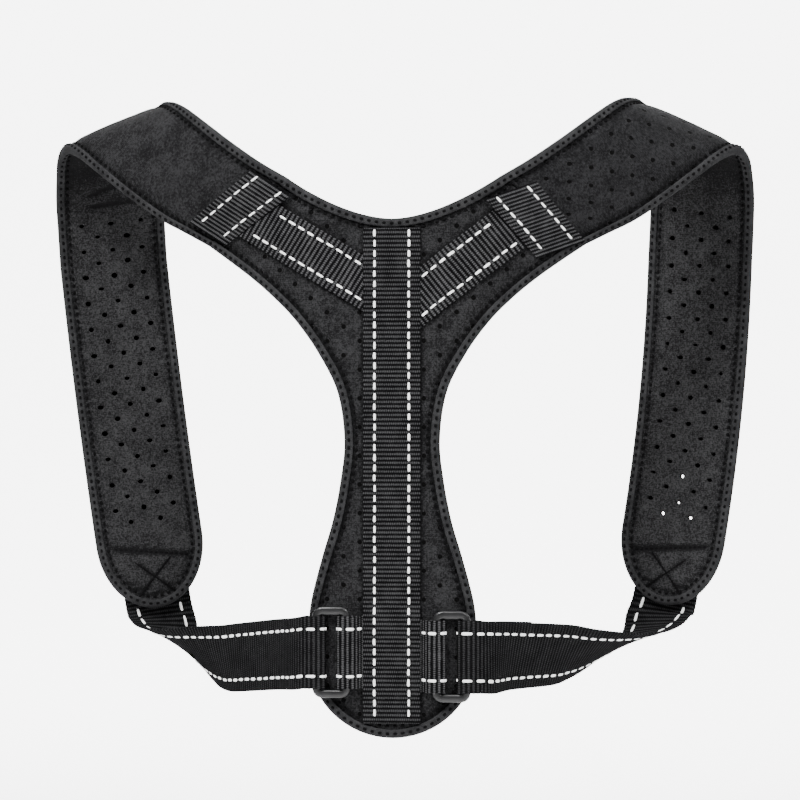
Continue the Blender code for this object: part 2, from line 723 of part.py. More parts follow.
def ring_tab(side, made, carrier):
    """Webbing folded round a ring's inner bar, with one end under the centre webbing."""
    height = ring_height(side)
    edge = CENTRE_WIDTH / 2
    bar = RING_OUT - RING_SPAN / 2
    start = bar - (RING_BAR - RING_THICKNESS) / 2
    above = RING_LIFT + FOLD_RADIUS
    below = RING_LIFT - FOLD_RADIUS
    slope = bar - RING_BAR / 2 - edge
    outer = [(edge - TUCK, ON_PANEL), (edge + 2 * GAP, ON_PANEL),
             (edge + 0.28 * slope, blend(ON_PANEL, above, 0.12)),
             (edge + 0.62 * slope, blend(ON_PANEL, above, 0.66)),
             (edge + 0.90 * slope, blend(ON_PANEL, above, 0.97)), (start, above)]
    inner = [(start, below), (start - TAB_RETURN / 2, blend(below, ON_PANEL, 0.75)),
             (start - TAB_RETURN, ON_PANEL)]
    rows = path_rows([outer[0]] + plan_curve(outer[1:], 3), height, 1)
    rows = rows[:-1] + fold_round(bar, height, 1)
    rows += path_rows(plan_curve(inner, 2), height, 1)[1:]
    turned_rows = []
    for middle, across, outward in rows:
        turned_rows.append((*on_side([middle, across, outward], side.sign),))
    finish("ring_tab_" + side.name, ribbon(turned_rows, SIDE_WIDTH, WEB_THICKNESS), made, carrier, 40)


def side_rows(side):
    """Middle and across direction of a side strap, from its sewn end to its ring's outer bar."""
    height = ring_height(side)
    bar = RING_OUT + RING_SPAN / 2 + (RING_BAR - RING_THICKNESS) / 2
    end = Vector((bar, BACK_Y - RING_LIFT - FOLD_RADIUS, height))
    strap = STRAPS[side.name]
    foot = strap.length + STRAP_END
    over = OVER_BINDING + WEB_THICKNESS / 2
    rows = []
    for distance in (foot - SEWN_LENGTH, foot - SEWN_LENGTH / 2, foot):
        rows.append((*strap.point(distance, 0, over), *strap.middle(distance)[1]))
    start = Vector(rows[-1][:3])
    for row in SIDE_STRAP:
        middle = Vector((blend(end.x, start.x, row.out), blend(end.y, start.y, row.forward),
                         blend(end.z, start.z, row.rise) - row.sag * side.sag * SIDE_WIDTH))
        roll = 90 * (row.roll / 90) ** side.curl
        rows.append((*middle, *turned(roll - 90, row.swing)))
    rows.append((*end, *UP))
    return rows


def side_strap(side, made, carrier):
    """Sewn on the outside of a shoulder strap's foot, folded, led back to the ring, round its
    outer bar, and doubled back on the body's side."""
    table = side_rows(side)
    steps = 4
    spots = [smooth(table, step / steps) for step in range((len(table) - 1) * steps + 1)]
    middles = [Vector(spot[:3]) for spot in spots]
    rows = []
    for place, spot in enumerate(spots):
        across = Vector(spot[3:]).normalized()
        ahead = middles[min(place + 1, len(middles) - 1)] - middles[max(place - 1, 0)]
        if place == len(spots) - 1:
            ahead = Vector((-1, 0, 0))
        rows.append((middles[place], across, across.cross(ahead).normalized()))
    bar = RING_OUT + RING_SPAN / 2
    height = ring_height(side)
    wrap = fold_round(bar, height, -1)
    below = RING_LIFT - FOLD_RADIUS
    clear = FOOT_RADIUS + 2 * GAP
    link = path_rows([(bar + RING_BAR / 4, below), (clear, below)], height, -1)
    back = []
    travelled = 0
    for place in range(len(rows) - 2, 0, -1):
        travelled += (middles[place + 1] - middles[place]).length
        if travelled > RETURN_LENGTH:
            break
        middle, across, outward = rows[place]
        if middle.x < clear + RING_BAR:
            continue
        back.append((middle - outward * WEB_STEP, across, -outward))
    sequence = rows[:-1] + wrap + link + back
    turned_rows = [(*on_side(row, side.sign),) for row in sequence]
    finish("side_strap_" + side.name, ribbon(turned_rows, SIDE_WIDTH, WEB_THICKNESS), made, carrier, 40)


def main():
    for old in list(bpy.data.objects):
        bpy.data.objects.remove(old, do_unlink=True)
    carrier = bpy.data.objects.new("shoulder_seat", None)
    bpy.context.scene.collection.objects.link(carrier)

    knit = material("perforated knit", (0.030, 0.031, 0.033), 0.92)
    loop = material("brushed loop cloth", (0.042, 0.043, 0.045), 0.95)
    tape = material("binding tape", (0.050, 0.051, 0.053), 0.85)
    woven = material("ribbed webbing", (0.022, 0.022, 0.024), 0.80)
    plastic = material("moulded plastic", (0.045, 0.046, 0.048), 0.45)

    back_panel(knit, carrier)
    edge_binding(tape, carrier)
    centre_webbing(woven, carrier)
    for side in SIDES:
        shoulder_strap(side, loop, carrier)
        diagonal_webbing(side, woven, carrier)
        cross_webbing(side, woven, carrier)
        ring(side, plastic, carrier)
        ring_tab(side, woven, carrier)
        side_strap(side, woven, carrier)


main()
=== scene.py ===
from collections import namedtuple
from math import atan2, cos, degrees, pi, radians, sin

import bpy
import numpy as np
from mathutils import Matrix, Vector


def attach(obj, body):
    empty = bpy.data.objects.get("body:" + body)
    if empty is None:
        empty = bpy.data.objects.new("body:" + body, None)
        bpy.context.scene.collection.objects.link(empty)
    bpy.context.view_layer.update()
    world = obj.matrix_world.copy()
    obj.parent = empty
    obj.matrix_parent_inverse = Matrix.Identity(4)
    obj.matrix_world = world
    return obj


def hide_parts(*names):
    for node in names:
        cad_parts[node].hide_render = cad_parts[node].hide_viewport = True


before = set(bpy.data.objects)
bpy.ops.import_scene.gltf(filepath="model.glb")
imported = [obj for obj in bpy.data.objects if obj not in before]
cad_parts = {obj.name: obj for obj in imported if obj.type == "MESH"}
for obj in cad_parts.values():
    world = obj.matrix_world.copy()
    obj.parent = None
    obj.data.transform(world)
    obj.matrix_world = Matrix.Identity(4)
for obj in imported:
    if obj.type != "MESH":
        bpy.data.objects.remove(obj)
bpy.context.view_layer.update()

# %% [markdown]
# # A posture corrector, dressed from its CAD frame
# The CAD model gives every form its place. This notebook keeps the rings' and pads' places and
# builds what the eye sees on them: foam that is pinched by its binding, pierced cloth, ribbed
# webbing with reflective dashes, stitches and moulded plastic.

# %% [markdown]
# ## 1. Sizes
# The same named sizes and tables as in the CAD source, so that each surface here lies exactly on
# the solid that it dresses. Metres throughout.

# %% Shoulder loops, pads and panel
SHOULDER_OUT = 0.172
DEPTH = 0.1275
SEAT_SHARE = 0.60
ARCH_RISE = 0.052
STRAP_DROP = 0.163
NECK_DROP = 0.0053
NECK_POWER = 1.75
STRAP_WIDTH = 0.062
STRAP_END = 0.040
STRAP_CROWN = 0.0015
PAD_THICKNESS = 0.004
EDGE_THICKNESS = 0.0026
EDGE_SLOPE = 0.00875
PANEL_HEIGHT = 0.275
PANEL_WIDTH = 0.090
WAIST_WIDTH = 0.0504
WAIST_DOWN = 0.1169
BACK_FLAT = 0.030
BACK_POWER = 1.55

# %% Binding, holes, webbing and rings
BINDING_WIDTH = 0.0045
BINDING_WALL = 0.0007
HOLE_RADIUS = 0.00125
HOLE_ACROSS = 0.0085
HOLE_ALONG = 0.0076
HOLE_COLUMNS = 5
HOLE_ROWS = 24
WEB_THICKNESS = 0.0013
CENTRE_WIDTH = 0.030
NARROW_WIDTH = 0.025
SIDE_WIDTH = 0.038
CROSS_WIDTH = 0.028
CROSS_LENGTH = 0.048
CENTRE_TOP = 0.0050
CENTRE_FOOT = 0.0080
SEWN_LENGTH = 0.042
RETURN_LENGTH = 0.062
TUCK = 0.0045
TAB_RETURN = 0.0040
RING_BAR = 0.0043
RING_THICKNESS = 0.0030
RING_SPAN = 0.0158
RING_SLACK = 0.0008
RING_CORNER = 0.0032
RING_OUT = 0.0318
GAP = 0.0003

# %% [markdown]
# ### Two sides that differ
# A sewn piece is never quite even. The same functions draw both sides, and one row of values a side
# says how far each reaches, dips and leans. Drawing one side and mirroring it would be shorter, but
# the eye sees at once that nothing in it was sewn by hand.

# %% One row of values a side
Side = namedtuple("Side", "name sign reach rise dip swing drop lean_top lean_foot"
                          " diagonal_meets cross_past cross_off cross_turn ring_down sag curl")
SIDES = [
    Side("left", -1, 1.010, 0.985, 1.00, 1.0, 1.00, 6.2, 8.6, 0.124, 0.07, -0.02, 4, 0.834,
         1.0, 1.0),
    Side("right", 1, 0.963, 0.955, 1.15, 1.5, 0.98, 1.8, 9.2, 0.152, -0.19, 0.04, -11, 0.841,
         0.76, 0.40),
]

# %% Tables of the curves
# out, forward, up, dip, swing
ARCH = np.array([
    (0.462, 0.153, 0.00, 34, 29), (0.550, 0.208, 0.17, 36, 30), (0.640, 0.270, 0.36, 40, 27),
    (0.738, 0.341, 0.60, 40, 21), (0.833, 0.431, 0.84, 35, 12), (0.897, 0.529, 0.97, 27, 6),
    (0.946, 0.643, 1.00, 21, 0), (0.980, 0.761, 0.88, 18, -5), (0.996, 0.863, 0.65, 15, -9),
    (1.004, 0.937, 0.34, 10, -13), (1.003, 0.980, 0.00, 6.5, -14), (0.998, 1.000, -0.41, 4.6, -14),
])
HANGING = len(ARCH) - 1  # the row from which a strap hangs
SEWN_ALIKE = 4  # rows over which a side's own dip sets in, because both are sewn on alike
# down, out
STEM = [(1.000, 1.00), (0.875, 0.97), (0.752, 0.89), (0.566, 0.62), (0.380, 0.31), (0.190, 0.10),
        (0.000, 0.00)]
# centre_down, neck_out, edge_out, edge_up
YOKE = [(0.78, 0.00, 0.047, 0.237), (0.51, 0.00, 0.180, 0.436), (0.25, 0.00, 0.342, 0.602),
        (0.00, 0.00, 0.505, 0.724), (0.00, 0.35, 0.668, 0.825), (0.00, 0.67, 0.831, 0.913),
        (0.00, 1.00, 1.000, 1.000)]
# out, forward, rise, sag, roll, swing
SIDE_STRAP = [
    (0.972, 0.996, 1.00, 0.22, 90, -18), (0.940, 0.971, 0.90, 0.38, 75, -32),
    (0.885, 0.910, 0.75, 0.46, 60, -42), (0.802, 0.830, 0.60, 0.48, 46, -47),
    (0.720, 0.750, 0.49, 0.47, 33, -48), (0.640, 0.665, 0.40, 0.45, 21, -49),
    (0.550, 0.575, 0.32, 0.41, 11, -49), (0.450, 0.470, 0.25, 0.33, 4, -49),
    (0.230, 0.235, 0.10, 0.15, 1, -49), (0.125, 0.082, 0.03, 0.06, 0, -49),
    (0.068, 0.024, 0.00, 0.01, 0, -49), (0.020, 0.001, 0.00, 0.00, 0, -49),
]

# %% Measures worked out from these
STRAP_HALF = STRAP_WIDTH / 2
PAD_HALF = PAD_THICKNESS / 2
EDGE_HALF = EDGE_THICKNESS / 2
EDGE_INSET = BINDING_WALL + GAP
BACK_Y = -SEAT_SHARE * DEPTH
FEET_Z = PAD_HALF - STRAP_CROWN - ARCH_RISE
NECK_Z = FEET_Z - NECK_DROP
FOOT_Z = NECK_Z - PANEL_HEIGHT
FOOT_RADIUS = PANEL_WIDTH / 2
WAIST = (WAIST_WIDTH / 2, NECK_Z - WAIST_DOWN)
STEM_FOOT = (FOOT_RADIUS, FOOT_Z + FOOT_RADIUS)
ON_PANEL = PAD_HALF + GAP + WEB_THICKNESS / 2
WEB_STEP = WEB_THICKNESS + GAP
UP = np.array([0.0, 0.0, 1.0])


# %% [markdown]
# ## 2. Surfaces
# Three kinds of surface carry everything. A strap is a middle line with a line across it; the
# panel is a curved wall; webbing is a ribbon through rows. Each is read at many places at once.

# %% Reading tables
def blend(start, end, share):
    return start + (end - start) * share


def smooth(rows, places):
    """The rows' values at places counted in rows, on a curve through every row."""
    rows, places = np.asarray(rows, float), np.atleast_1d(np.asarray(places, float))
    padded = np.vstack([2 * rows[0] - rows[1], rows, 2 * rows[-1] - rows[-2]])
    low = np.clip(places.astype(int), 0, len(rows) - 2)
    step = (places - low)[:, None]
    before, here, there, after = (padded[low + shift] for shift in range(4))
    bend = 2 * before - 5 * here + 4 * there - after
    twist = 3 * (here - there) + after - before
    return here + step / 2 * (there - before + step * (bend + step * twist))


def unit(vectors):
    return vectors / np.maximum(np.linalg.norm(vectors, axis=-1, keepdims=True), 1e-12)


def turned(dip, swing):
    """Level directions swung forward by one angle and dipped by another, in degrees."""
    dip, swing = np.radians(dip), np.radians(swing)
    return np.stack([np.cos(dip) * np.cos(swing), np.cos(dip) * np.sin(swing),
                     -np.sin(dip) * np.ones_like(swing)], -1)


def run_of(line):
    """How far along a line of places each of them lies."""
    return np.append(0, np.cumsum(np.linalg.norm(np.diff(line, axis=0), axis=1)))


def ease(value):
    """From 0 to 1, slow at both ends, as the value goes from 0 to 1."""
    share = np.clip(value, 0, 1)
    return share * share * (3 - 2 * share)


# %% [markdown]
# ### The shoulder strap's surface
# A padded strap leaves the panel at a seam, arches forward over the shoulder and hangs. A flat strip
# with a curve modifier could be bent like this, but one table of middles and of lines across also
# says where the stitches, holes and webbing on the strap go, so a table is used.

# %% A strap from its table
class Strap:
    """One shoulder strap as a surface, drawn for the wearer's right."""

    def __init__(self, side):
        self.side = side
        places = np.linspace(0, HANGING, 241)
        middles, across = self.arch(places)
        distances = run_of(middles)
        self.arch_length = distances[-1]
        self.length = self.arch_length + STRAP_DROP * side.drop
        fine = np.arange(0, self.arch_length, 0.0005)
        middles, across = self.arch(np.interp(fine, distances, places))
        start = unit(middles[1] - middles[0])
        before = np.arange(-0.030, -0.0001, 0.0005)
        down = np.arange(0, self.length - self.arch_length + 0.050, 0.0005)
        hung, hung_across = self.hanging(down)
        self.table = np.concatenate([before, fine, self.arch_length + down])
        self.middles = np.vstack([middles[0] + start * before[:, None], middles, hung])
        self.across = np.vstack([np.repeat(across[:1], len(before), 0), across, hung_across])
        along = np.gradient(self.middles, axis=0)
        kernel = np.ones(9) / 9
        along = np.stack([np.convolve(np.pad(column, 4, "edge"), kernel, "valid")
                          for column in along.T], -1)
        self.outward = unit(np.cross(self.across, along))

    def arch(self, places):
        side = self.side
        out, forward, up, dip, swing = smooth(ARCH, places).T
        out = ARCH[0][0] + (out - ARCH[0][0]) * side.reach
        dip = dip * blend(1, side.dip, np.minimum(places / SEWN_ALIKE, 1))
        dip = blend(dip, side.lean_top, np.clip(places - HANGING + 1, 0, 1))
        swing = np.where(swing < 0, swing * side.swing, swing)
        middles = np.stack([out * SHOULDER_OUT, BACK_Y + forward * DEPTH,
                            FEET_Z + up * ARCH_RISE * side.rise], -1)
        return middles, turned(dip, swing)

    def hanging(self, down):
        middles, across = self.arch(np.array([float(HANGING)]))
        top, foot = radians(self.side.lean_top), radians(self.side.lean_foot)
        growth = (foot - top) / (self.length - self.arch_length)
        lean = top + growth * down
        shift = np.stack([(cos(top) - np.cos(lean)) / growth, 0 * lean,
                          (np.sin(lean) - sin(top)) / growth], -1)
        swing = degrees(atan2(across[0][1], across[0][0]))
        return middles - shift, turned(np.degrees(lean), swing + 0 * lean)

    def read(self, rows, distance):
        return np.stack([np.interp(distance, self.table, column) for column in rows.T], -1)

    def __call__(self, distance, sideways, lift):
        """Places on the strap: sideways from its middle, away from the neck, and lifted."""
        distance, sideways, lift = np.broadcast_arrays(distance, sideways, lift)
        crown = STRAP_CROWN * (1 - (sideways / STRAP_HALF) ** 2)
        return (self.read(self.middles, distance)
                + self.read(self.across, distance) * sideways[..., None]
                + self.read(self.outward, distance) * (crown + lift)[..., None])


STRAPS = {side.name: Strap(side) for side in SIDES}
SEAM_NECK = STRAPS["right"](0.0, -STRAP_HALF, 0.0)
SEAM_ARM = STRAPS["right"](0.0, STRAP_HALF, 0.0)
print("straps, mm:", {name: round(strap.length * 1000, 1) for name, strap in STRAPS.items()})


# %% [markdown]
# ### The panel's wall
# The panel lies flat on the spine and curls forward towards the arms. One formula bends it, so that
# all that is sewn on it follows the same curve. Its rows run from the middle line to the outer edge,
# so they fan out with the yoke and no face is pulled thin.

# %% The panel's wall and its rows
def back(out, height, lift):
    """Places on the panel: out from the centre line, at a height, and lifted outwards."""
    out, height, lift = np.broadcast_arrays(out, height, lift)
    past = np.maximum(np.abs(out) - BACK_FLAT, 0)
    reach = SEAM_ARM[0] - BACK_FLAT
    depth = SEAM_ARM[1] - BACK_Y
    forward = depth * (past / reach) ** BACK_POWER
    slope = depth * BACK_POWER / reach * (past / reach) ** (BACK_POWER - 1) * np.sign(out)
    outward = unit(np.stack([slope, -np.ones_like(slope), 0 * slope], -1))
    return np.stack([out, BACK_Y + forward, height], -1) + outward * lift[..., None]


def neck_height(out):
    return blend(NECK_Z, SEAM_NECK[2], (np.abs(out) / SEAM_NECK[0]) ** NECK_POWER)


def panel_rows(steps):
    """Starts and ends of the rows of half the panel, from its foot's widest place to the seam."""
    starts, ends = [], []
    for down, out in STEM:
        height = blend(WAIST[1], STEM_FOOT[1], down)
        starts.append((0, height))
        ends.append((blend(WAIST[0], STEM_FOOT[0], out), height))
    for centre_down, neck_out, edge_out, edge_up in YOKE:
        starts.append((neck_out * SEAM_NECK[0], NECK_Z - centre_down * WAIST_DOWN))
        ends.append((blend(WAIST[0], SEAM_ARM[0], edge_out), blend(WAIST[1], SEAM_ARM[2], edge_up)))
    places = np.arange((len(starts) - 1) * steps + 1) / steps
    starts = np.stack([np.interp(places, range(len(starts)), column)
                       for column in np.array(starts, float).T], -1)
    on_neck = starts[:, 1] >= NECK_Z - 1e-9
    starts[:, 1] = np.where(on_neck, neck_height(starts[:, 0]), starts[:, 1])
    return starts, smooth(ends, places), on_neck


# %% Ways in from an edge
def squares(line, towards):
    """Unit directions square to a line of places, on the side of other places."""
    run = unit(np.gradient(line, axis=0))
    square = np.stack([-run[:, 1], run[:, 0]], -1)
    side = np.sum(square * (towards - line), 1)
    return square * np.where(side < 0, -1, 1)[:, None]


def inset_from(line, places):
    """Shortest ways from places to a line."""
    nearest = np.full(len(places), 1.0)
    for start, end in zip(line[:-1], line[1:]):
        run = end - start
        share = np.clip((places - start) @ run / (run @ run), 0, 1)
        nearest = np.minimum(nearest, np.linalg.norm(places - start - share[:, None] * run, axis=1))
    return nearest


def half_thickness(inset):
    """Half the pad's thickness: thin under the binding, and full a little further in."""
    return blend(EDGE_HALF, PAD_HALF, np.clip((inset - EDGE_INSET) / EDGE_SLOPE, 0, 1))


# %% The panel's outline
TURNS = np.linspace(0, pi / 2, 40)
FOOT_ARC = np.stack([FOOT_RADIUS * np.sin(TURNS), STEM_FOOT[1] - FOOT_RADIUS * np.cos(TURNS)], -1)
STARTS, ENDS, ON_NECK = panel_rows(12)
PANEL_EDGE = np.vstack([FOOT_ARC[:-1], ENDS])
NECK_EDGE = STARTS[ON_NECK]
print("rows of half the panel:", len(STARTS), "and of them on the neck:", len(NECK_EDGE))


# %% [markdown]
# ## 3. Turning points into pieces
# Every piece gets a UV map in millimetres of cloth, so that a weave keeps its real scale.

# %% Building and dressing a piece
def build(name, points, faces, cloth, finishes, slots=None, smooth_angle=None, painted_shade=None):
    """A piece at the origin from points, faces and places on the cloth in millimetres. The last
    argument says from 0 to 1 how much painted shade darkens each point: in creases, pinches and
    seams, and under a strap's arch."""
    mesh = bpy.data.meshes.new(name)
    mesh.from_pydata([tuple(point) for point in points], [], faces)
    corners = np.empty(len(mesh.loops), np.int64)
    mesh.loops.foreach_get("vertex_index", corners)
    layer = mesh.uv_layers.new(name="cloth")
    layer.data.foreach_set("uv", np.asarray(cloth, float)[corners].ravel())
    if painted_shade is not None:
        # painted shade, kept as an attribute that darkens the knit's colour
        depth = mesh.attributes.new("painted_shade", "FLOAT", "POINT")
        depth.data.foreach_set("value", np.clip(painted_shade, 0, 1))
    for finish in finishes:
        mesh.materials.append(finish)
    if slots is not None:
        mesh.polygons.foreach_set("material_index", np.asarray(slots, np.int32))
    mesh.shade_smooth()
    if smooth_angle:
        mesh.set_sharp_from_angle(angle=radians(smooth_angle))
    mesh.validate()
    piece = bpy.data.objects.new(name, mesh)
    bpy.context.scene.collection.objects.link(piece)
    print(f"{name}: {len(mesh.vertices)} points, {len(mesh.polygons)} faces")
    return piece


def dress(piece, node=None):
    """The piece rides on the body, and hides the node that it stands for."""
    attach(piece, "root")
    if node:
        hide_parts(node)


# %% Faces, sides and small irregular waves
def grid(rows, columns, closed=False, looped=False):
    """Faces of a grid of points numbered row by row; closed joins the last column to the first,
    looped the last row to the first."""
    row = np.arange(rows if looped else rows - 1)[:, None]
    column = np.arange(columns if closed else columns - 1)[None, :]
    ahead, beside = (row + 1) % rows, (column + 1) % columns
    corners = [row * columns + column, row * columns + beside,
               ahead * columns + beside, ahead * columns + column]
    shape = (row.size, column.size)
    faces = np.stack([np.broadcast_to(corner, shape) for corner in corners], -1)
    return faces.reshape(-1, 4).tolist()


def outline_of(rows, columns):
    """The corners round such a grid, from its first corner along its first row."""
    last = (rows - 1) * columns
    return (list(range(columns)) + [row * columns + columns - 1 for row in range(1, rows - 1)]
            + list(range(last + columns - 1, last - 1, -1))
            + [row * columns for row in range(rows - 2, 0, -1)])


def squared(turns, power):
    """Places round a circle that is drawn towards a square; a power of 1 leaves it round."""
    ways = np.stack([np.cos(turns), np.sin(turns)], -1)
    return np.sign(ways) * np.abs(ways) ** power


def mirrored(points, sign):
    """Points drawn for the wearer's right, on the side of that sign."""
    return points * np.array([sign, 1, 1])


def facing(faces, sign):
    """Faces turned over on the mirrored side, so that they look outwards there too."""
    return [face[::-1] for face in faces] if sign < 0 else faces


def ripple(places, scale, seed):
    """Smooth irregular waves between about -1 and 1 over places in metres, about scale long."""
    found = np.zeros(len(places))
    waves = np.random.default_rng(seed)
    for _ in range(9):
        turn, phase = waves.uniform(0, 2 * pi, 2)
        pace = 2 * pi / (scale * waves.uniform(0.6, 1.8))
        found += np.sin((places[:, 0] * cos(turn) + places[:, 1] * sin(turn)) * pace + phase)
    return found / 4.5


# %% [markdown]
# ## 4. Materials
# A shader is written as ordinary sums of wires. `cloth()` gives the place on the cloth in
# millimetres, and each finish turns it into colour, roughness and relief.

# %% Shader sums
class Wire:
    """A shader output that takes part in sums."""

    def __init__(self, finish, socket):
        self.finish, self.socket = finish, socket

    def maths(self, operation, *values):
        return self.finish.node("Math", values, operation=operation)

    def __add__(self, other):
        return self.maths("ADD", self, other)

    def __sub__(self, other):
        return self.maths("SUBTRACT", self, other)

    def __rsub__(self, other):
        return self.maths("SUBTRACT", other, self)

    def __mul__(self, other):
        return self.maths("MULTIPLY", self, other)

    def __truediv__(self, other):
        return self.maths("DIVIDE", self, other)

    def __pow__(self, other):
        return self.maths("POWER", self, other)

    __radd__, __rmul__ = __add__, __mul__

    def wave(self, length):
        """Between 0 and 1, and 1 at each whole length."""
        return self.maths("COSINE", self * (2 * pi / length)) * 0.5 + 0.5

    def off_line(self, spacing):
        """Distance from the nearest of lines at that spacing."""
        return (self.maths("FRACT", self / spacing + 0.5) - 0.5) * spacing

    def lowest(self, other):
        return self.maths("MINIMUM", self, other)

    def between(self, low, high):
        """From 0 to 1 as the value goes from low to high."""
        return self.finish.node("MapRange", [self, low, high, 0.0, 1.0],
                                interpolation_type="SMOOTHSTEP")


# %% [markdown]
# ### A finish
# One object keeps a material, its nodes and its Principled shader. Wiring nodes by hand in the
# shader editor gives the same, but here each finish stays a few readable lines.

# %% A finish
class Finish:
    """A material whose Principled shader is fed by wires."""

    def __init__(self, name, colour, **fixed):
        self.material = bpy.data.materials.new(name)
        self.material.use_nodes = True
        self.tree = self.material.node_tree
        self.shader = self.tree.nodes["Principled BSDF"]
        self.material.diffuse_color = (*colour, 1)
        self.shade(base_color=(*colour, 1), **fixed)

    def plug(self, value, socket):
        if isinstance(value, Wire):
            self.tree.links.new(value.socket, socket)
        else:
            socket.default_value = value

    def node(self, kind, values=(), output=0, **settings):
        made = self.tree.nodes.new("ShaderNode" + kind)
        for name, value in settings.items():
            setattr(made, name, value)
        if isinstance(values, dict):
            for name, value in values.items():
                self.plug(value, made.inputs[name])
        else:
            for socket, value in zip(made.inputs, values):
                self.plug(value, socket)
        return Wire(self, made.outputs[output])

    def shade(self, **values):
        for name, value in values.items():
            title = name.replace("_", " ").title().replace("Ior", "IOR")
            self.plug(value, self.shader.inputs[title])

    def cloth(self):
        """Along and across the cloth, in millimetres."""
        place = self.node("UVMap", uv_map="cloth")
        return (self.node("SeparateXYZ", [place], output=0),
                self.node("SeparateXYZ", [place], output=1))

    def noise(self, scale, detail=3.0, rough=0.6):
        """Cloudy values round 0.5, with waves of about 1 m / scale."""
        place = self.node("TexCoord", output=3)
        return self.node("TexNoise", {"Vector": place, "Scale": scale, "Detail": detail,
                                      "Roughness": rough})

    def mix(self, share, first, second):
        made = self.tree.nodes.new("ShaderNodeMix")
        made.data_type = "RGBA"
        for value, place in ((share, 0), ((*first, 1) if isinstance(first, tuple) else first, 6),
                             ((*second, 1) if isinstance(second, tuple) else second, 7)):
            self.plug(value, made.inputs[place])
        return Wire(self, made.outputs[2])

    def relief(self, height, depth):
        """Bumps of that depth in metres where the height goes from 0 to 1."""
        self.shade(normal=self.node("Bump", {"Height": height, "Distance": depth, "Strength": 1.0}))


# %% [markdown]
# ### Knitted cloth
# The pads are covered with a soft warp knit. Up close it is rows of tiny loops, and from further off
# it is mottled, because the pile lies this way and that. Noise of three sizes makes the mottling,
# and crossed waves make the loops. The holes of the panel and of the right strap's cloth are painted
# shade: near-black dots with a dent in the relief, since cut through the mesh they would cost many
# faces where nothing shines through. An attribute adds painted shade in creases, pinches and seams.

# %% Knit and its holes
def perforation(along, across, radius):
    """1 in the middle of each hole of the staggered pattern, and 0 outside."""
    stagger_across, stagger_along = 2 * HOLE_ACROSS * 1000, 2 * HOLE_ALONG * 1000
    found = []
    for shift in (0, 0.5):
        aside = (across + shift * stagger_across).off_line(stagger_across)
        ahead = (along + shift * stagger_along).off_line(stagger_along)
        found.append((aside * aside + ahead * ahead) ** 0.5)
    return 1 - found[0].lowest(found[1]).between(radius - 0.25, radius + 0.2)


def knit(name, dark, light, holes, mottle):
    """Warp-knit cloth: rows of tiny loops, mottled, darkened by painted shade where its attribute
    says, with or without perforations painted as dark dots of shade.
    """
    made = Finish(name, light, roughness=0.92, sheen_weight=0.03, sheen_roughness=0.5,
                  specular_ior_level=0.02)
    along, across = made.cloth()
    cloud, tufts, grit = made.noise(90, 3.0), made.noise(560, 3.0, 0.7), made.noise(1000, 2.0, 0.8)
    loops = along.wave(1.1) * (across + along.wave(2.2) * 0.25).wave(0.9)
    tone = ((cloud - 0.5) * 1.2 * mottle + (tufts - 0.5) * 1.5 * mottle + (grit - 0.5) * 2.3
            + loops * 0.25 + 0.42)
    # painted shade: the attribute darkens the cloth in creases, pinches and seams, and under a
    # strap's arch
    tone = tone - made.node("Attribute", output=2, attribute_name="painted_shade") * 0.9
    colour = made.mix(tone.between(0.0, 1.0), dark, light)
    height = loops * 0.5 + grit * 0.6 + tufts * 1.2
    if holes:
        hole = perforation(along, across, HOLE_RADIUS * 1000 * holes)
        # painted shade: near-black dots for the dark inside of the holes
        colour = made.mix(hole, colour, (0.0015, 0.0015, 0.0015))
        height = height - hole * 6
    made.shade(base_color=colour, roughness=0.86 + grit * 0.12)
    made.relief(height, 0.00022)
    return made


# %% [markdown]
# ### Webbing and thread
# Grosgrain has thick ribs across it, each crossed by fine ends. The mesh has the ribs, and the
# material adds the ends, a painted highlight on each crest and painted shade between the ribs.
# Thread is twisted, so its shade winds round it.

# %% Webbing and thread
def ribbed(name, dark, light, pitch):
    """Grosgrain webbing: thick weft ribs crossed by fine warp ends."""
    made = Finish(name, light, roughness=0.8, specular_ior_level=0.0)
    along, across = made.cloth()
    cloud, grit = made.noise(120), made.noise(1800, 2.0)
    ridge = along.wave(pitch)
    ends = (across + along.wave(2 * pitch) * 0.57).wave(1.14)
    # painted highlight on each rib's crest and painted shade between the ribs, on top of random
    # mottling
    tone = ridge * 0.4 + ends * ridge * 0.6 + (cloud - 0.5) * 0.6 + (grit - 0.5) * 0.9
    made.shade(base_color=made.mix(tone.between(0.05, 1.0), dark, light),
               roughness=0.88 - ridge * 0.22)
    made.relief(ends * 0.8 + grit * 0.5 + ridge * 0.3, 0.00011)
    return made


def thread(name, colour, rough, twist, gloss=0.3):
    """Sewing thread, twisted once in that many millimetres."""
    made = Finish(name, colour, roughness=rough, specular_ior_level=gloss)
    along, across = made.cloth()
    strands = (along + across * 0.8).wave(twist)
    grit = made.noise(2200, 2.0)
    shade = (strands * 0.35 + grit * 0.65).between(0.1, 0.75)
    made.shade(base_color=made.mix(shade, tuple(tone * 0.8 for tone in colour), colour))
    made.relief(strands + grit * 0.4, 0.00008)
    return made


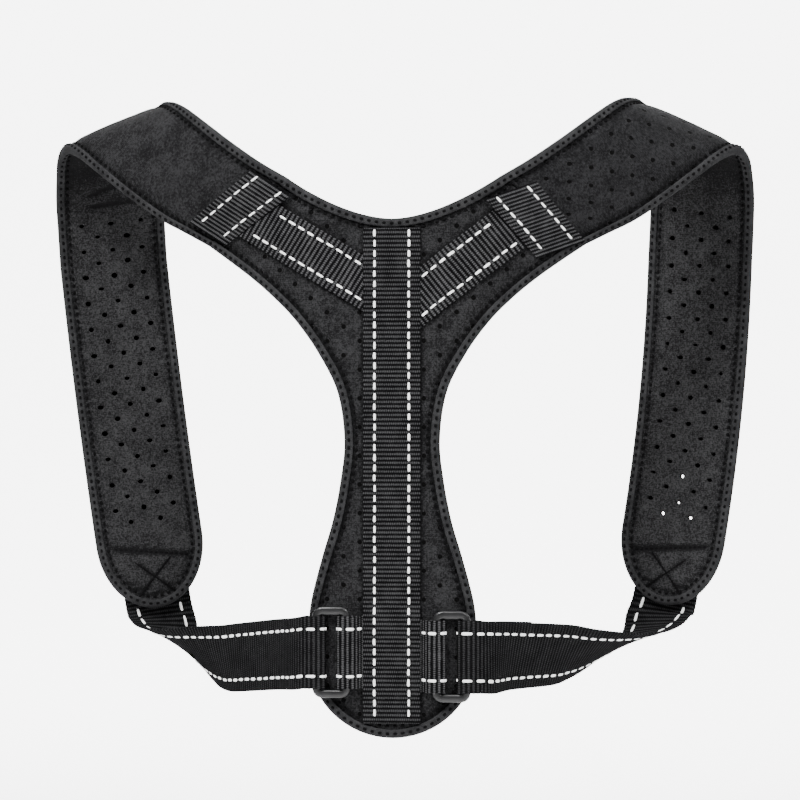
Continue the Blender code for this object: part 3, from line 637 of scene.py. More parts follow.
# %% The colours of cloth, webbing and thread
PANEL_KNIT = knit("panel_knit", (0.0048, 0.0048, 0.0051), (0.0230, 0.0230, 0.0240), 1.05, 1.0)
STRAP_KNIT = knit("strap_knit", (0.0055, 0.0055, 0.0058), (0.0300, 0.0300, 0.0310), 0.0, 0.65)
LEFT_CLOTH = knit("left_cloth", (0.0045, 0.0045, 0.0048), (0.0200, 0.0200, 0.0210), 0, 1.1)
RIGHT_CLOTH = knit("right_cloth", (0.0040, 0.0040, 0.0043), (0.0175, 0.0175, 0.0185), 1.05, 1.0)
FOAM = knit("foam", (0.0010, 0.0010, 0.0010), (0.0030, 0.0030, 0.0030), 0, 1.0)
WEBBING = ribbed("webbing", (0.0028, 0.0028, 0.0030), (0.0560, 0.0560, 0.0580), 2.5)
SIDE_WEBBING = ribbed("side_webbing_finish", (0.0036, 0.0036, 0.0038),
                      (0.0250, 0.0250, 0.0260), 2.5)
CENTRE_WEBBING = ribbed("centre_webbing_finish", (0.0028, 0.0028, 0.0030),
                        (0.0390, 0.0390, 0.0405), 2.3)
GLOWING_WHITE = thread("white_thread_painted_glow", (0.92, 0.92, 0.91), 0.55, 0.9)
# painted light: the reflective thread glows a little, in place of the light that it sends back
GLOWING_WHITE.shade(emission_color=(1.0, 1.0, 0.99, 1), emission_strength=0.45)
DARK = thread("dark_thread", (0.0044, 0.0044, 0.0046), 0.95, 0.6, 0.02)


# %% [markdown]
# ### Tape and plastic
# The binding is a fine twill, dull and a little paler than the cloth. The rings are nylon from a
# mould: smooth, but with a fine grain that breaks up their gloss.

# %% Binding tape and moulded plastic
def binding_tape():
    made = Finish("binding_tape_finish", (0.016, 0.016, 0.017), roughness=0.88,
                  specular_ior_level=0.02)
    along, across = made.cloth()
    cloud, grit = made.noise(140), made.noise(1700, 2.0)
    weave = (along + across * 0.5).wave(0.8) * (along - across * 0.5).wave(0.8)
    tone = weave * 0.3 + (cloud - 0.5) * 1.1 + (grit - 0.5) * 0.9 + 0.45
    made.shade(base_color=made.mix(tone.between(0.0, 1.0), (0.0085, 0.0085, 0.0090),
                                   (0.0320, 0.0320, 0.0332)))
    made.relief(weave * 0.6 + grit * 0.5 + cloud * 0.4, 0.00010)
    return made


def moulded_plastic():
    made = Finish("moulded_plastic_finish", (0.015, 0.015, 0.016), specular_ior_level=0.5)
    cloud, grit = made.noise(90), made.noise(2600, 2.0)
    made.shade(base_color=made.mix(cloud.between(0.3, 0.7), (0.0050, 0.0050, 0.0054),
                                   (0.0080, 0.0080, 0.0085)),
               roughness=0.24 + grit * 0.14)
    made.relief(grit, 0.00003)
    return made


TAPE, PLASTIC = binding_tape(), moulded_plastic()
print("finishes made, with the CAD model's own:", len(bpy.data.materials))


# %% [markdown]
# ## 5. Padded pieces
# Foam between two cloths. It is thin under the binding, puffs up inside it, is pinched at every
# stitch, and is pierced through where the CAD straps are.

# %% The pinch along the edge
STITCH = 0.0044  # pitch of the pinches along every edge
PINCH_INSET, PINCH_WIDTH = 0.0062, 0.0022
PINCH, PINCH_SWING = 0.00042, 0.00040  # its mean depth, and how far it varies


def ridge(way, width):
    """1 where the way is 0, and fading to 0 within about the width on both sides."""
    return np.exp(-(way / width) ** 2)


def pinched(inset, along):
    """How far the cloth is drawn in beside the binding, most at each stitch."""
    near = ridge(inset - PINCH_INSET, PINCH_WIDTH)
    return near * (PINCH + PINCH_SWING * np.cos(2 * pi * along / STITCH))


# %% [markdown]
# ### Foam between two cloths
# Both cloths share one pattern of faces. Walls join them round the outline and through the open
# holes. The other holes are pits, closed close beneath the outer cloth, because the photograph shows
# light through only a few. Cutting each hole with a boolean would leave slivers round its rim.

# %% Two cloths and what joins them
PIT_FLOOR = 0.35  # how far from the outer cloth to the inner one a pit's floor lies


def two_sheets(name, outer, inner, faces, cloth, holes, blind, outline, finishes, sign, painted_shade):
    """A closed pad between two like sheets: walls round its outline and through each hole. The
    outer cloth covers the blind holes, and their floor lies close beneath it."""
    count = len(outer)
    floor = {corner: place for place, corner in enumerate(c for hole in blind for c in hole)}
    beneath = np.array([blend(outer[c], inner[c], PIT_FLOOR) for c in floor]).reshape(-1, 3)
    walls = [[a, b, b + count, a + count] for ring in [outline] + holes
             for a, b in zip(ring, ring[1:] + ring[:1])]
    caps = []
    for hole in blind:
        sunk = [floor[corner] + 2 * count for corner in hole]
        around = zip(hole, hole[1:] + hole[:1], sunk, sunk[1:] + sunk[:1])
        walls += [[low, next_low, after + count, here + count]
                  for here, after, low, next_low in around]
        walls.append(sunk)
        caps.append(hole[::-1])
    inside = [[corner + count for corner in reversed(face)] for face in faces]
    slots = [0] * (len(faces) + len(caps)) + [1] * len(inside) + [2] * len(walls)
    points = mirrored(np.vstack([outer, inner, beneath]), sign)
    every = facing(faces + caps + inside + [wall[::-1] for wall in walls], sign)
    cloth = np.vstack([cloth, cloth, cloth[list(floor)]])
    painted_shade = np.concatenate([painted_shade[0], painted_shade[1], painted_shade[0][list(floor)]])
    return build(name, points, every, cloth, finishes, slots, painted_shade=painted_shade)


# %% [markdown]
# ### The pattern of a strap's cloth
# The strap is pierced in a staggered pattern. The grid has four steps between two places of the
# pattern, so a ring of eight corners round each hole is already there, and two smaller rings inside
# it make a rim that dips. No two holes of a punched knit are alike, so each is nudged and stretched.
# Beyond the holes the rows bend little by little into the strap's round end.

# %% The pattern of a strap's cloth
OPEN_HOLES = {(20, 2), (22, 2), (23, 1), (23, 3)}  # rows and columns pierced right through
FINE = 4  # steps of the grid between two places of the pattern
MARGIN = 5  # columns of the grid on each side of the pattern
CAP_TURN = 76  # degrees that the rows turn round an end
AROUND = [(-1, -1), (-1, 0), (-1, 1), (0, 1), (1, 1), (1, 0), (1, -1), (0, -1)]
UNEVEN_HOLE = (0.12, 0.12, 2e-4, 2e-4)  # in width, in length, and shifted both ways


def strap_rows(strap):
    """Rows of places on a strap's cloth, and the number of them before the pattern."""
    core, end = STRAP_HALF - EDGE_INSET, STRAP_END - EDGE_INSET
    lattice = (np.arange(HOLE_COLUMNS * FINE + 1) / FINE - HOLE_COLUMNS / 2) * HOLE_ACROSS
    margin = np.linspace(lattice[-1], core, MARGIN + 1)[1:]
    columns = np.concatenate([-margin[::-1], lattice, margin])
    first_hole = strap.length - (HOLE_ROWS + 1) * HOLE_ALONG
    plain = int(first_hole / HOLE_ALONG * FINE)
    distances = np.concatenate([
        np.linspace(-GAP / 2, first_hole, plain + 1)[:-1],
        first_hole + np.arange((HOLE_ROWS + 1) * FINE + 1) * HOLE_ALONG / FINE])
    rows = [np.stack([np.full(len(columns), distance), columns], -1) for distance in distances]
    for turn in np.linspace(0, CAP_TURN, 41)[1:]:
        half = core * cos(radians(turn))
        aside = columns * half / core
        arc = end * np.sqrt(np.maximum(1 - (aside / core) ** 2, 0))
        ahead = blend(end * sin(radians(turn)), arc, turn / CAP_TURN)
        rows.append(np.stack([strap.length + ahead, aside], -1))
    return rows, plain


def strap_sheet(strap):
    """Places, how far each is sunk, faces, open and blind rims, and outline of a strap's cloth."""
    rows, plain = strap_rows(strap)
    places, wide = np.vstack(rows), len(rows[0])
    taken, faces, extra, open_rims, blind_rims = set(), [], [], [], []
    uneven = np.random.default_rng(21 if strap.side.sign > 0 else 22)
    for row in range(HOLE_ROWS):
        for column in range(HOLE_COLUMNS):
            if (row + column) % 2:
                continue
            middle_row, middle_column = plain + row * FINE + 2, MARGIN + column * FINE + 2
            middle = places[middle_row * wide + middle_column]
            rim = [(middle_row + r) * wide + middle_column + c for r, c in AROUND]
            taken.update((middle_row + r, middle_column + c) for r in (-1, 0) for c in (-1, 0))
            by_width, by_length, shift_along, shift_aside = uneven.normal(0, 1, 4) * UNEVEN_HOLE
            opened = strap.side.sign > 0 and (row, column) in OPEN_HOLES
            size = HOLE_RADIUS * (0.75 if opened else 1)
            for radius, depth in ((size * 1.5, 0.00006), (size * 1.2, 0.0007)):
                first = len(places) + len(extra)
                inner = list(range(first, first + len(AROUND)))
                for r, c in AROUND:
                    turn = atan2(c * HOLE_ACROSS, r * HOLE_ALONG)
                    extra.append((middle[0] + shift_along + radius * (0.92 + by_length) * cos(turn),
                                  middle[1] + shift_aside + radius * (1.08 + by_width) * sin(turn),
                                  depth))
                faces += [list(face) for face in zip(rim, rim[1:] + rim[:1],
                                                     inner[1:] + inner[:1], inner)]
                rim = inner
            (open_rims if opened else blind_rims).append(rim[::-1])
    for row in range(len(rows) - 1):
        for column in range(wide - 1):
            if (row, column) not in taken:
                corner = row * wide + column
                faces.append([corner, corner + 1, corner + wide + 1, corner + wide])
    extra = np.array(extra)
    sunk = np.append(np.zeros(len(places)), extra[:, 2])
    places = np.vstack([places, extra[:, :2]])
    return tidied(places, sunk, faces, open_rims, blind_rims, outline_of(len(rows), wide))


def tidied(places, sunk, faces, open_rims, blind_rims, outline):
    """The same without the places that no face uses, which are those inside the holes."""
    used = np.zeros(len(places), bool)
    used[np.unique(np.concatenate([np.array(face) for face in faces]))] = True
    number = np.cumsum(used) - 1

    def renamed(lists):
        return [[int(number[corner]) for corner in corners] for corners in lists]

    return (places[used], sunk[used], renamed(faces), renamed(open_rims), renamed(blind_rims),
            renamed([outline])[0])


# %% [markdown]
# ### A padded shoulder strap
# The strap's foam puffs up inside its binding. Where it bends over the shoulder its inner cloth
# folds into creases, and near its foot a bar and a cross of stitches draw it in, because the side
# webbing is sewn on there. A cloth simulation would smooth such fine pinches away on a pad of 4 mm,
# so every rise and dip is worked out at the points. One attribute paints shade into the dips, and
# under the arch where the strap bends over the shoulder.

# %% A padded shoulder strap
STRAP_PUFF, PUFF_FROM = 0.0007, 0.0045  # height, and where it starts in from the edge
CREASES = ((0.035, -0.05), (0.045, -0.28))  # how far above the arch's end, and slant
CREASE_DEPTH = {"left": 0.0015, "right": 0.0003}
BAR_UP, BAR_SLANT, BAR_HALF = 0.0325, 0.22, 0.020  # the sewn bar above the foot
CROSS_UP, CROSS_REACH, CROSS_HALF = 0.0180, 0.0095, 0.010  # the sewn cross below it
BAR_DEPTH, CROSS_DEPTH = 0.0012, 0.0006
# painted shade: how strongly the cloth is darkened under the arch, and for each metre of crease and
# pinch depth
ARCH_SHADE, CREASE_SHADE, PINCH_SHADE = 0.65, 600, 650  # darkening, the last two for each metre


def folded(strap, along, aside):
    """How far the inner cloth stands out in soft folds, or below 0 dips in a crease."""
    near = ridge(along - strap.arch_length * 0.55, 0.030)
    folds = near * np.cos(2 * pi * (along + aside * 0.25) / 0.0135) * 0.00020
    for above, slant in CREASES:
        crease = ridge(along - strap.arch_length + above + aside * slant, 0.0014)
        across = ease((0.022 - np.abs(aside + 0.006)) / 0.006)
        folds = folds - crease * across * CREASE_DEPTH[strap.side.name]
    return folds


def foot_sewing(foot, along, aside):
    """The bar and the cross of stitches, from 0 to 1 where the thread pulls most."""
    bar = ridge(along - foot + BAR_UP + BAR_SLANT * aside, 0.0016)
    bar = bar * ease((0.024 - np.abs(aside)) / 0.004)
    reach = (along - foot + CROSS_UP) / CROSS_REACH
    way = np.minimum(np.abs(aside - reach * CROSS_HALF), np.abs(aside + reach * CROSS_HALF))
    return bar, ridge(way, 0.0017) * ease((1.1 - np.abs(reach)) / 0.3)


def shoulder_strap(side):
    """Both cloths of a strap, puffed up, creased and sewn, over the CAD strap."""
    strap = STRAPS[side.name]
    places, sunk, faces, through, blind, outline = strap_sheet(strap)
    along, aside = places.T
    past = np.maximum(along - strap.length, 0)
    inset = STRAP_HALF * (1 - np.hypot(past / STRAP_END, aside / STRAP_HALF))
    half, pin = half_thickness(inset), pinched(inset, along)
    puff = STRAP_PUFF * ease((inset - PUFF_FROM) / 0.009)
    wrinkle = ripple(places, 0.022, 3 if side.sign > 0 else 4) * 0.00016
    folds = folded(strap, along, aside)
    bar, cross = foot_sewing(strap.length + STRAP_END, along, aside)
    sewn = bar * BAR_DEPTH + cross * CROSS_DEPTH
    top = half + puff + wrinkle - pin - sunk - sewn
    low = half + puff * 0.8 + wrinkle + folds - pin - sunk - sewn
    # painted shade on both cloths in the sewn bar, the cross and the pinches
    painted_shade = bar + cross * 0.6 + pin * PINCH_SHADE
    # painted shade on the inner cloth under the arch and in the creases
    beneath = ridge(along - strap.arch_length + 0.074, 0.030) * ARCH_SHADE
    beneath = beneath - np.minimum(folds + 0.0002, 0) * CREASE_SHADE
    first_hole = strap.length - (HOLE_ROWS + 1) * HOLE_ALONG + HOLE_ALONG / 2
    cloth = np.stack([along - first_hole, aside], -1) * 1000
    outer_cloth = LEFT_CLOTH if side.sign < 0 else RIGHT_CLOTH
    finishes = [item.material for item in (outer_cloth, STRAP_KNIT, FOAM)]
    piece = two_sheets("padded_strap_" + side.name, strap(along, aside, top),
                       strap(along, aside, -low), faces, cloth, through, blind, outline, finishes,
                       side.sign, (painted_shade, painted_shade + beneath))
    smoother = piece.modifiers.new("smoother", "SUBSURF")
    smoother.levels = smoother.render_levels = 1
    dress(piece, "shoulder_strap_" + side.name)


# %% [markdown]
# ### Where the webbing on the panel lies
# The panel's foam stays flat under the webbing that is sewn on it, so the panel has to know where
# that webbing runs. The places of the cross and diagonal webbing are therefore worked out first.

# %% Where the cross and diagonal webbing lie
def cross_place(side, ahead, sideways):
    turn = radians(side.cross_turn)
    distance = ahead * cos(turn) + sideways * sin(turn) + side.cross_past * CROSS_LENGTH
    return distance, sideways * cos(turn) - ahead * sin(turn) + side.cross_off * CROSS_LENGTH


def cross_surface(side):
    """The surface of the webbing over a seam: along and across that webbing, and lifted. It runs
    across the strap, so its length is the strap's breadth."""
    def surface(along, across, lift):
        distance, off = cross_place(side, across, along)
        strap = STRAPS[side.name]
        place = strap(distance, off, lift)
        wall = back(place[..., 0], place[..., 2], lift)
        outer = np.minimum(place[..., 1], wall[..., 1])
        place[..., 1] = np.where(distance < 0, outer, place[..., 1])
        return place
    return surface


def diagonal_frame(side):
    """Start, direction, square direction and the two ends of the line where a diagonal stops."""
    surface = cross_surface(side)
    corners = surface(np.array([-CROSS_LENGTH / 2, CROSS_LENGTH / 2]), -CROSS_WIDTH / 2, 0.0)
    near, far = corners[0][[0, 2]], corners[1][[0, 2]]
    begin = np.array([CENTRE_WIDTH / 2 + GAP, NECK_Z - side.diagonal_meets * PANEL_HEIGHT])
    run = unit((near + far) / 2 - begin)
    return begin, run, np.array([-run[1], run[0]]), near, unit(far - near)


# %% [markdown]
# ### The padded panel
# The panel is a pad too, wide at its yoke, narrow at its waist and round at its foot. Half of it is
# laid out row by row, and the other half is the same with its sign turned, welded along the middle.
# The foam puffs up only where neither binding nor webbing holds it down.

# %% The padded panel
PANEL_STEPS = 26  # columns of the grid from the middle to the edge
PANEL_PUFF, PUFF_SLOPE = 0.0008, 0.008  # height, and how far in it takes to rise


def panel_places():
    """Rows of places over half the panel, and each row's run along the outer edge."""
    even = np.linspace(0, 1, PANEL_STEPS + 1)
    shares = ease(even) * 0.4 + even * 0.6
    core = FOOT_RADIUS - EDGE_INSET
    rows, run_along = [], []
    for turn in np.linspace(CAP_TURN, 4, 16):
        out = core * cos(radians(turn)) * shares
        arc = np.sqrt(core ** 2 - out ** 2)
        depth = core * sin(radians(turn))
        rows.append(np.stack([out, STEM_FOOT[1] - blend(depth, arc, turn / CAP_TURN)], -1))
        run_along.append(-radians(turn) * FOOT_RADIUS)
    inward = squares(ENDS, STARTS)
    down = squares(NECK_EDGE, ENDS[ON_NECK])
    down[0] = (0, -1)
    first = int(np.argmax(ON_NECK))
    for place, (start, end) in enumerate(zip(STARTS, ENDS)):
        edge = end + inward[place] * EDGE_INSET
        begin = start + (down[place - first] * EDGE_INSET if place >= first else 0)
        if place == len(ENDS) - 1:
            seam = STRAPS["right"](-GAP / 2, np.array([-1, 1]) * (STRAP_HALF - EDGE_INSET), 0.0)
            begin, edge = seam[0][[0, 2]], seam[1][[0, 2]]
        rows.append(begin + (edge - begin) * shares[:, None])
    return rows, np.append(run_along, run_of(ENDS))


def back_panel():
    """Both halves of the panel in one mesh, welded along the middle line."""
    rows, run_along = panel_places()
    places = np.vstack(rows)
    along = np.repeat(run_along, PANEL_STEPS + 1)
    inset = np.minimum(inset_from(PANEL_EDGE[::4], places), inset_from(NECK_EDGE[::4], places))
    free = np.minimum(inset - PUFF_FROM, np.abs(places[:, 0]) - CENTRE_WIDTH / 2)
    half, pin = half_thickness(inset), pinched(inset, along)
    count, faces = len(places), grid(len(rows), PANEL_STEPS + 1)
    border = outline_of(len(rows), PANEL_STEPS + 1) + [0]
    edges = [(a, b) for a, b in zip(border, border[1:])
             if places[a][0] > 1e-7 or places[b][0] > 1e-7]
    points, every, cloth, slots, painted_shade = [], [], [], [], []
    for side in SIDES:
        begin, run, square, near, stop = diagonal_frame(side)
        aside = np.abs((places - begin) @ square) - NARROW_WIDTH / 2
        puff = PANEL_PUFF * ease(np.minimum(free, aside) / PUFF_SLOPE)
        wrinkle = ripple(places * [side.sign, 1], 0.030, 11) * 0.00014
        top = half + puff + wrinkle * (puff > 0) - pin
        low = -half - 0.0005 * ease(free / PUFF_SLOPE) + wrinkle + pin
        base = sum(len(part) for part in points)
        sheets = [[corner + base for corner in face] for face in faces]
        sheets += [[corner + base + count for corner in reversed(face)] for face in faces]
        sheets += [[b + base, a + base, a + base + count, b + base + count] for a, b in edges]
        every += facing(sheets, side.sign)
        slots += [0] * len(faces) + [1] * len(faces) + [2] * len(edges)
        points += [mirrored(back(places[:, 0], places[:, 1], lift), side.sign)
                   for lift in (top, low)]
        cloth += [np.stack([places[:, 1], places[:, 0] * side.sign], -1) * 1000] * 2
        # painted shade in the pinches beside the binding on both cloths, and on the outer cloth
        # where the puff dips along the binding and the webbing's edges
        painted_shade += [pin * 500 + ridge(np.minimum(free, aside), 0.0016) * 0.5, pin * 500]
    finishes = [item.material for item in (PANEL_KNIT, STRAP_KNIT, FOAM)]
    piece = build("padded_panel", np.vstack(points), every, np.vstack(cloth), finishes, slots,
                  painted_shade=np.concatenate(painted_shade))
    weld = piece.modifiers.new("weld", "WELD")
    weld.merge_threshold = 0.00001
    dress(piece, "back_panel")


# %% The panel and both straps, made
back_panel()
for side in SIDES:
    shoulder_strap(side)


# %% [markdown]
# ## 6. Binding
# One tape runs round the whole outline. It is folded over the edge and sewn down, so it swells
# between its stitches.

# %% Lines round the whole outline
def edge_paths(side):
    """Dense lines of (surface, places, inward) round half the outline, in the order of sewing."""
    strap = STRAPS[side.name]
    neck_down = squares(NECK_EDGE, np.array([[0.0, FOOT_Z]]))
    neck_down[0] = (0, -1)
    yield back, NECK_EDGE[:-1], neck_down[:-1]
    down = np.arange(0, strap.length, 0.0015)
    yield (strap, np.stack([down, 0 * down - STRAP_HALF], -1), np.tile([0.0, 1.0], (len(down), 1)))
    turn = np.linspace(0, pi, 60)
    spots = np.stack([strap.length + STRAP_END * np.sin(turn), -STRAP_HALF * np.cos(turn)], -1)
    yield strap, spots, unit(np.stack([-STRAP_HALF * np.sin(turn), STRAP_END * np.cos(turn)], -1))
    up = down[::-1]
    yield strap, np.stack([up, 0 * up + STRAP_HALF], -1), np.tile([0.0, -1.0], (len(up), 1))
    edge = PANEL_EDGE[::-1][1:]
    inward = squares(PANEL_EDGE, np.stack([0 * PANEL_EDGE[:, 0] - 1e-4, PANEL_EDGE[:, 1]], -1))
    inward[0] = (0, 1)
    yield back, edge, inward[::-1][1:]


def round_outline(reader):
    """What reader makes of each path, for all of its places, round the whole outline."""
    left, right = ([mirrored(reader(path), side.sign) for path in edge_paths(side)]
                   for side in SIDES)
    right = np.concatenate(right)
    left = np.concatenate(left)[::-1]
    return np.concatenate([right, left[1:-1]])


def inside(path, inset, lift):
    """Places on a path's surface, in from its edge by the inset, and lifted."""
    surface, places, inward = path
    return surface(*(places + inward * inset).T, lift)


def evenly(stations, spacing):
    """The same closed run of stations at even spacing along its first point."""
    line = stations[:, 0]
    run = run_of(np.vstack([line, line[:1]]))
    count = int(round(run[-1] / spacing))
    at = np.arange(count) * run[-1] / count
    looped = np.concatenate([stations, stations[:1]]).reshape(len(run), -1)
    found = np.stack([np.interp(at, run, column) for column in looped.T], -1)
    return found.reshape(count, *stations.shape[1:]), at


# %% [markdown]
# ### The folded tape
# A bevelled curve could run round the edge too, but its section would turn at the corners. So a
# section of the folded tape is set at each place of the outline, square to the cloth there, and
# the tape is drawn in where each stitch goes through.

# %% The folded tape
SWELL, SWELL_ROUGH = 0.00024, 0.00008  # how far the tape is drawn in, evenly and unevenly
SWELL_SHARES = np.array([0.3, 0.6, 1.0, 1.2, 1.0, 0.5, 0.2, 0.0])  # over half its section


def tape_profile():
    """Half section of the tape from its edge on the cloth to the fold: inset, and lift."""
    leg = half_thickness(BINDING_WIDTH) + GAP
    return [(BINDING_WIDTH + 0.0001, leg)] + [
        (inset, leg + BINDING_WALL * rise) for inset, rise in (
            (BINDING_WIDTH + 0.0001, 0.7), (BINDING_WIDTH * 0.85, 1.05),
            (BINDING_WIDTH * 0.62, 1.0), (BINDING_WIDTH * 0.40, 0.9),
            (BINDING_WIDTH * 0.20, 0.75))
    ] + [(0.00035, EDGE_HALF + GAP + BINDING_WALL * 0.4), (-0.0001, EDGE_HALF * 0.55)]


def edge_binding():
    """The tape's section at even steps round the outline, drawn in at each stitch."""
    outside = tape_profile()
    profile = outside + [(-0.0002, 0.0)] + [(inset, -lift) for inset, lift in reversed(outside)]
    profile += [(BINDING_WALL, -EDGE_HALF - GAP * 0.4), (BINDING_WALL, EDGE_HALF + GAP * 0.4)]
    fold = len(outside)
    dense = round_outline(lambda path: np.stack(
        [inside(path, inset, lift) for inset, lift in profile], 1))
    stations, run = evenly(np.concatenate([dense[:, fold:fold + 1], dense], 1), STITCH / 4)
    stations = stations[:, 1:]
    away = unit(stations - stations.mean(1, keepdims=True))
    shares = np.concatenate([SWELL_SHARES, [0], SWELL_SHARES[::-1], [0, 0]])
    rough = ripple(np.stack([run, 0 * run], -1), 0.011, 5)
    swell = np.cos(2 * pi * run / STITCH) * SWELL + rough * SWELL_ROUGH
    stations = stations - away * (swell[:, None] * shares)[..., None]
    aside = run_of(np.array(profile)) * 1000
    cloth = np.stack([np.repeat(run * 1000, len(profile)), np.tile(aside, len(run))], -1)
    faces = grid(len(run), len(profile), closed=True, looped=True)
    piece = build("binding", stations.reshape(-1, 3), faces, cloth, [TAPE.material])
    dress(piece, "edge_binding")


# %% [markdown]
# ### Stitches
# Each stitch is a short, fat thread that dives into the cloth at both ends. All the stitches of one
# seam are one mesh of small barrels: some thousands of separate objects would be slow, and a bump
# alone would look flat from the side.

# %% Stitches
BARREL = ((-1.0, -0.6, 0.25), (-0.8, 0.35, 0.8), (-0.3, 0.9, 1.0),
          (0.3, 0.9, 1.0), (0.8, 0.35, 0.8), (1.0, -0.6, 0.25))  # along, rise and girth


def stitches(name, middles, along, outward, size, finish):
    """Small rounded stitches, all in one piece: at middles, along directions, standing outward.
    size is their length, width and height."""
    across = unit(np.cross(outward, along))
    length, width, height = size
    rings, shape = [], []
    for share, rise, reach in BARREL:
        for turn in np.linspace(0, 2 * pi, 7)[:-1]:
            rings.append((share * length / 2, cos(turn) * width / 2 * reach,
                          sin(turn) * height / 2 * max(reach, 0.3) + rise * height / 2))
            shape.append((share * length / 2, turn))
    ahead, beside, up = np.array(rings).T[:, None, :, None]
    points = (middles[:, None] + along[:, None] * ahead + across[:, None] * beside
              + outward[:, None] * up)
    one = grid(6, 6, closed=True) + [list(range(5, -1, -1)), list(range(30, 36))]
    faces = [[corner + base for corner in face] for base in range(0, len(middles) * 36, 36)
             for face in one]
    cloth = np.tile(np.array(shape) * [1000, 0.3], (len(middles), 1))
    return build(name, points.reshape(-1, 3), faces, cloth, [finish.material])


# %% Stitches along the edge and at the feet
EDGE_STITCH = 0.0041  # pitch of the stitches along the edge
EDGE_SIZE, FOOT_SIZE = (0.0021, 0.0014, 0.0007), (0.0022, 0.0011, 0.0006)


def edge_stitches():
    """Two rows on each face: one on the tape, one in the cloth beside it."""
    leg = half_thickness(BINDING_WIDTH) + GAP + BINDING_WALL
    parts = []
    for inset, lift in ((0.0024, leg), (0.0064, half_thickness(0.0064) - 0.0001)):
        for face in (1, -1):
            dense = round_outline(lambda path: np.stack(
                [inside(path, inset, face * up) for up in (lift, lift + 0.001)], 1))
            found, run = evenly(dense, EDGE_STITCH)
            along = unit(np.roll(found[:, 0], -1, 0) - np.roll(found[:, 0], 1, 0))
            parts.append((found[:, 0], along, unit(found[:, 1] - found[:, 0])))
            print("stitches in this row:", len(run))
    middles, along, outward = (np.concatenate(part) for part in zip(*parts))
    dress(stitches("edge_stitches", middles, along, outward, EDGE_SIZE, DARK))


def foot_stitches(side):
    """The bar and the cross that fasten the side webbing, seen on the pad's inner face."""
    strap = STRAPS[side.name]
    foot = strap.length + STRAP_END
    shares = np.linspace(-1, 1, 15)
    lines = [(foot - BAR_UP - BAR_SLANT * shares * BAR_HALF, shares * BAR_HALF, 0.00150)]
    for slant in (-1, 1):
        lines.append((foot - CROSS_UP + shares * CROSS_REACH, slant * shares * CROSS_HALF, 0.00205))
    parts = []
    for distance, aside, depth in lines:
        low, lower = strap(distance, aside, -depth), strap(distance, aside, -depth - 0.001)
        parts.append((low, unit(np.gradient(low, axis=0)), unit(lower - low)))
    middles, along, outward = (mirrored(np.concatenate(part), side.sign) for part in zip(*parts))
    piece = stitches("foot_stitches_" + side.name, middles, along, outward, FOOT_SIZE, DARK)
    dress(piece)


# %% The binding and all dark stitches, made
edge_binding()
edge_stitches()
for side in SIDES:
    foot_stitches(side)


# %% [markdown]
# ## 7. Webbing
# Ribbed ribbon with real ribs on both faces, and reflective dashes woven in as two lines.

# %% A ribbon's surface
def ribbon_surface(rows, flip=1):
    """A surface along rows of (middle, across), and its length."""
    middles = np.array([row[0] for row in rows], float)
    across = np.array([row[1] for row in rows], float)
    dense = smooth(np.hstack([middles, across]), np.arange(0, len(rows) - 1 + 1e-9, 1 / 12))
    middles, across = dense[:, :3], unit(dense[:, 3:])
    run = run_of(middles)
    outward = flip * unit(np.cross(across, np.gradient(middles, axis=0)))

    def surface(along, sideways, lift):
        along, sideways, lift = np.broadcast_arrays(along, sideways, lift)
        spot, side_way, out = (np.stack([np.interp(along, run, column) for column in part.T], -1)
                               for part in (middles, across, outward))
        return spot + side_way * sideways[..., None] + out * lift[..., None]
    return surface, run[-1]


# %% [markdown]
# ### Ribbed webbing
# The ribs are in the mesh, because they catch the light at the folds and show in the outline. Six
# rows of points a rib are enough. An array of one rib on a curve would stretch the ribs in a bend,
# and here each rib keeps its pitch along the ribbon. The weave wanders a little, as a real one does.

# %% Ribbed webbing
RIB = 0.0025  # pitch of the ribs
WEB_CORE, RIB_RISE = 0.00040, 0.00025  # half the webbing's thickness without ribs, and theirs


def reading(value, places):
    """A value that may depend on the place across, at each of the places."""
    return value(places) if callable(value) else value + 0 * places


def webbing(name, surface, start, end, width, base, node, sign, rib=RIB, finish=WEBBING,
            columns=12, seed=1):
    """Ribbed webbing on a surface, from start to end along it; either may depend on the place
    across. base lifts its middle off the surface."""
    half = width / 2
    places = np.linspace(-half, half, columns)
    section = ([(-half - 0.0001, 0.0)] + [(place, 1) for place in places] + [(half + 0.0001, 0.0)]
               + [(place, -1) for place in places[::-1]])
    aside, face = np.array(section).T
    first, last = reading(start, aside), reading(end, aside)
    count = int(np.max(last - first) / (rib / 6)) + 1
    along = first + (last - first) * np.linspace(0, 1, count)[:, None]
    spots = np.stack([along, aside + 0 * along], -1).reshape(-1, 2)
    wander = ripple(spots, 0.030, seed).reshape(along.shape)
    ribs = np.abs(np.cos(pi * (along + wander * 0.0002) / rib)) ** 0.7
    lift = base + face * (WEB_CORE + RIB_RISE * ribs) + wander * 0.00005
    edge = aside * (1 + (np.abs(aside) > half * 0.98) * (ribs - 0.5) * 0.012)
    points = mirrored(surface(along, edge, lift).reshape(-1, 3), sign)
    ring = len(section)
    faces = grid(count, ring, closed=True)
    faces += [list(range(ring)), list(range(ring * count - 1, ring * (count - 1) - 1, -1))]
    piece = build(name, points, facing(faces, sign), spots * 1000, [finish.material],
                  smooth_angle=70)
    dress(piece, node)
    float(np.mean(last - first))


# %% [markdown]
# ### Reflective dashes
# A pale, reflective thread floats over the ribs in two lines and dives under between them; its
# material glows a little, which is painted light for the light that it sends back. Each dash is a
# low cushion with rounded corners, a little longer or shorter than the next. Painting them in the
# material would be cheaper, but the real ones stand up and cast small shadows.

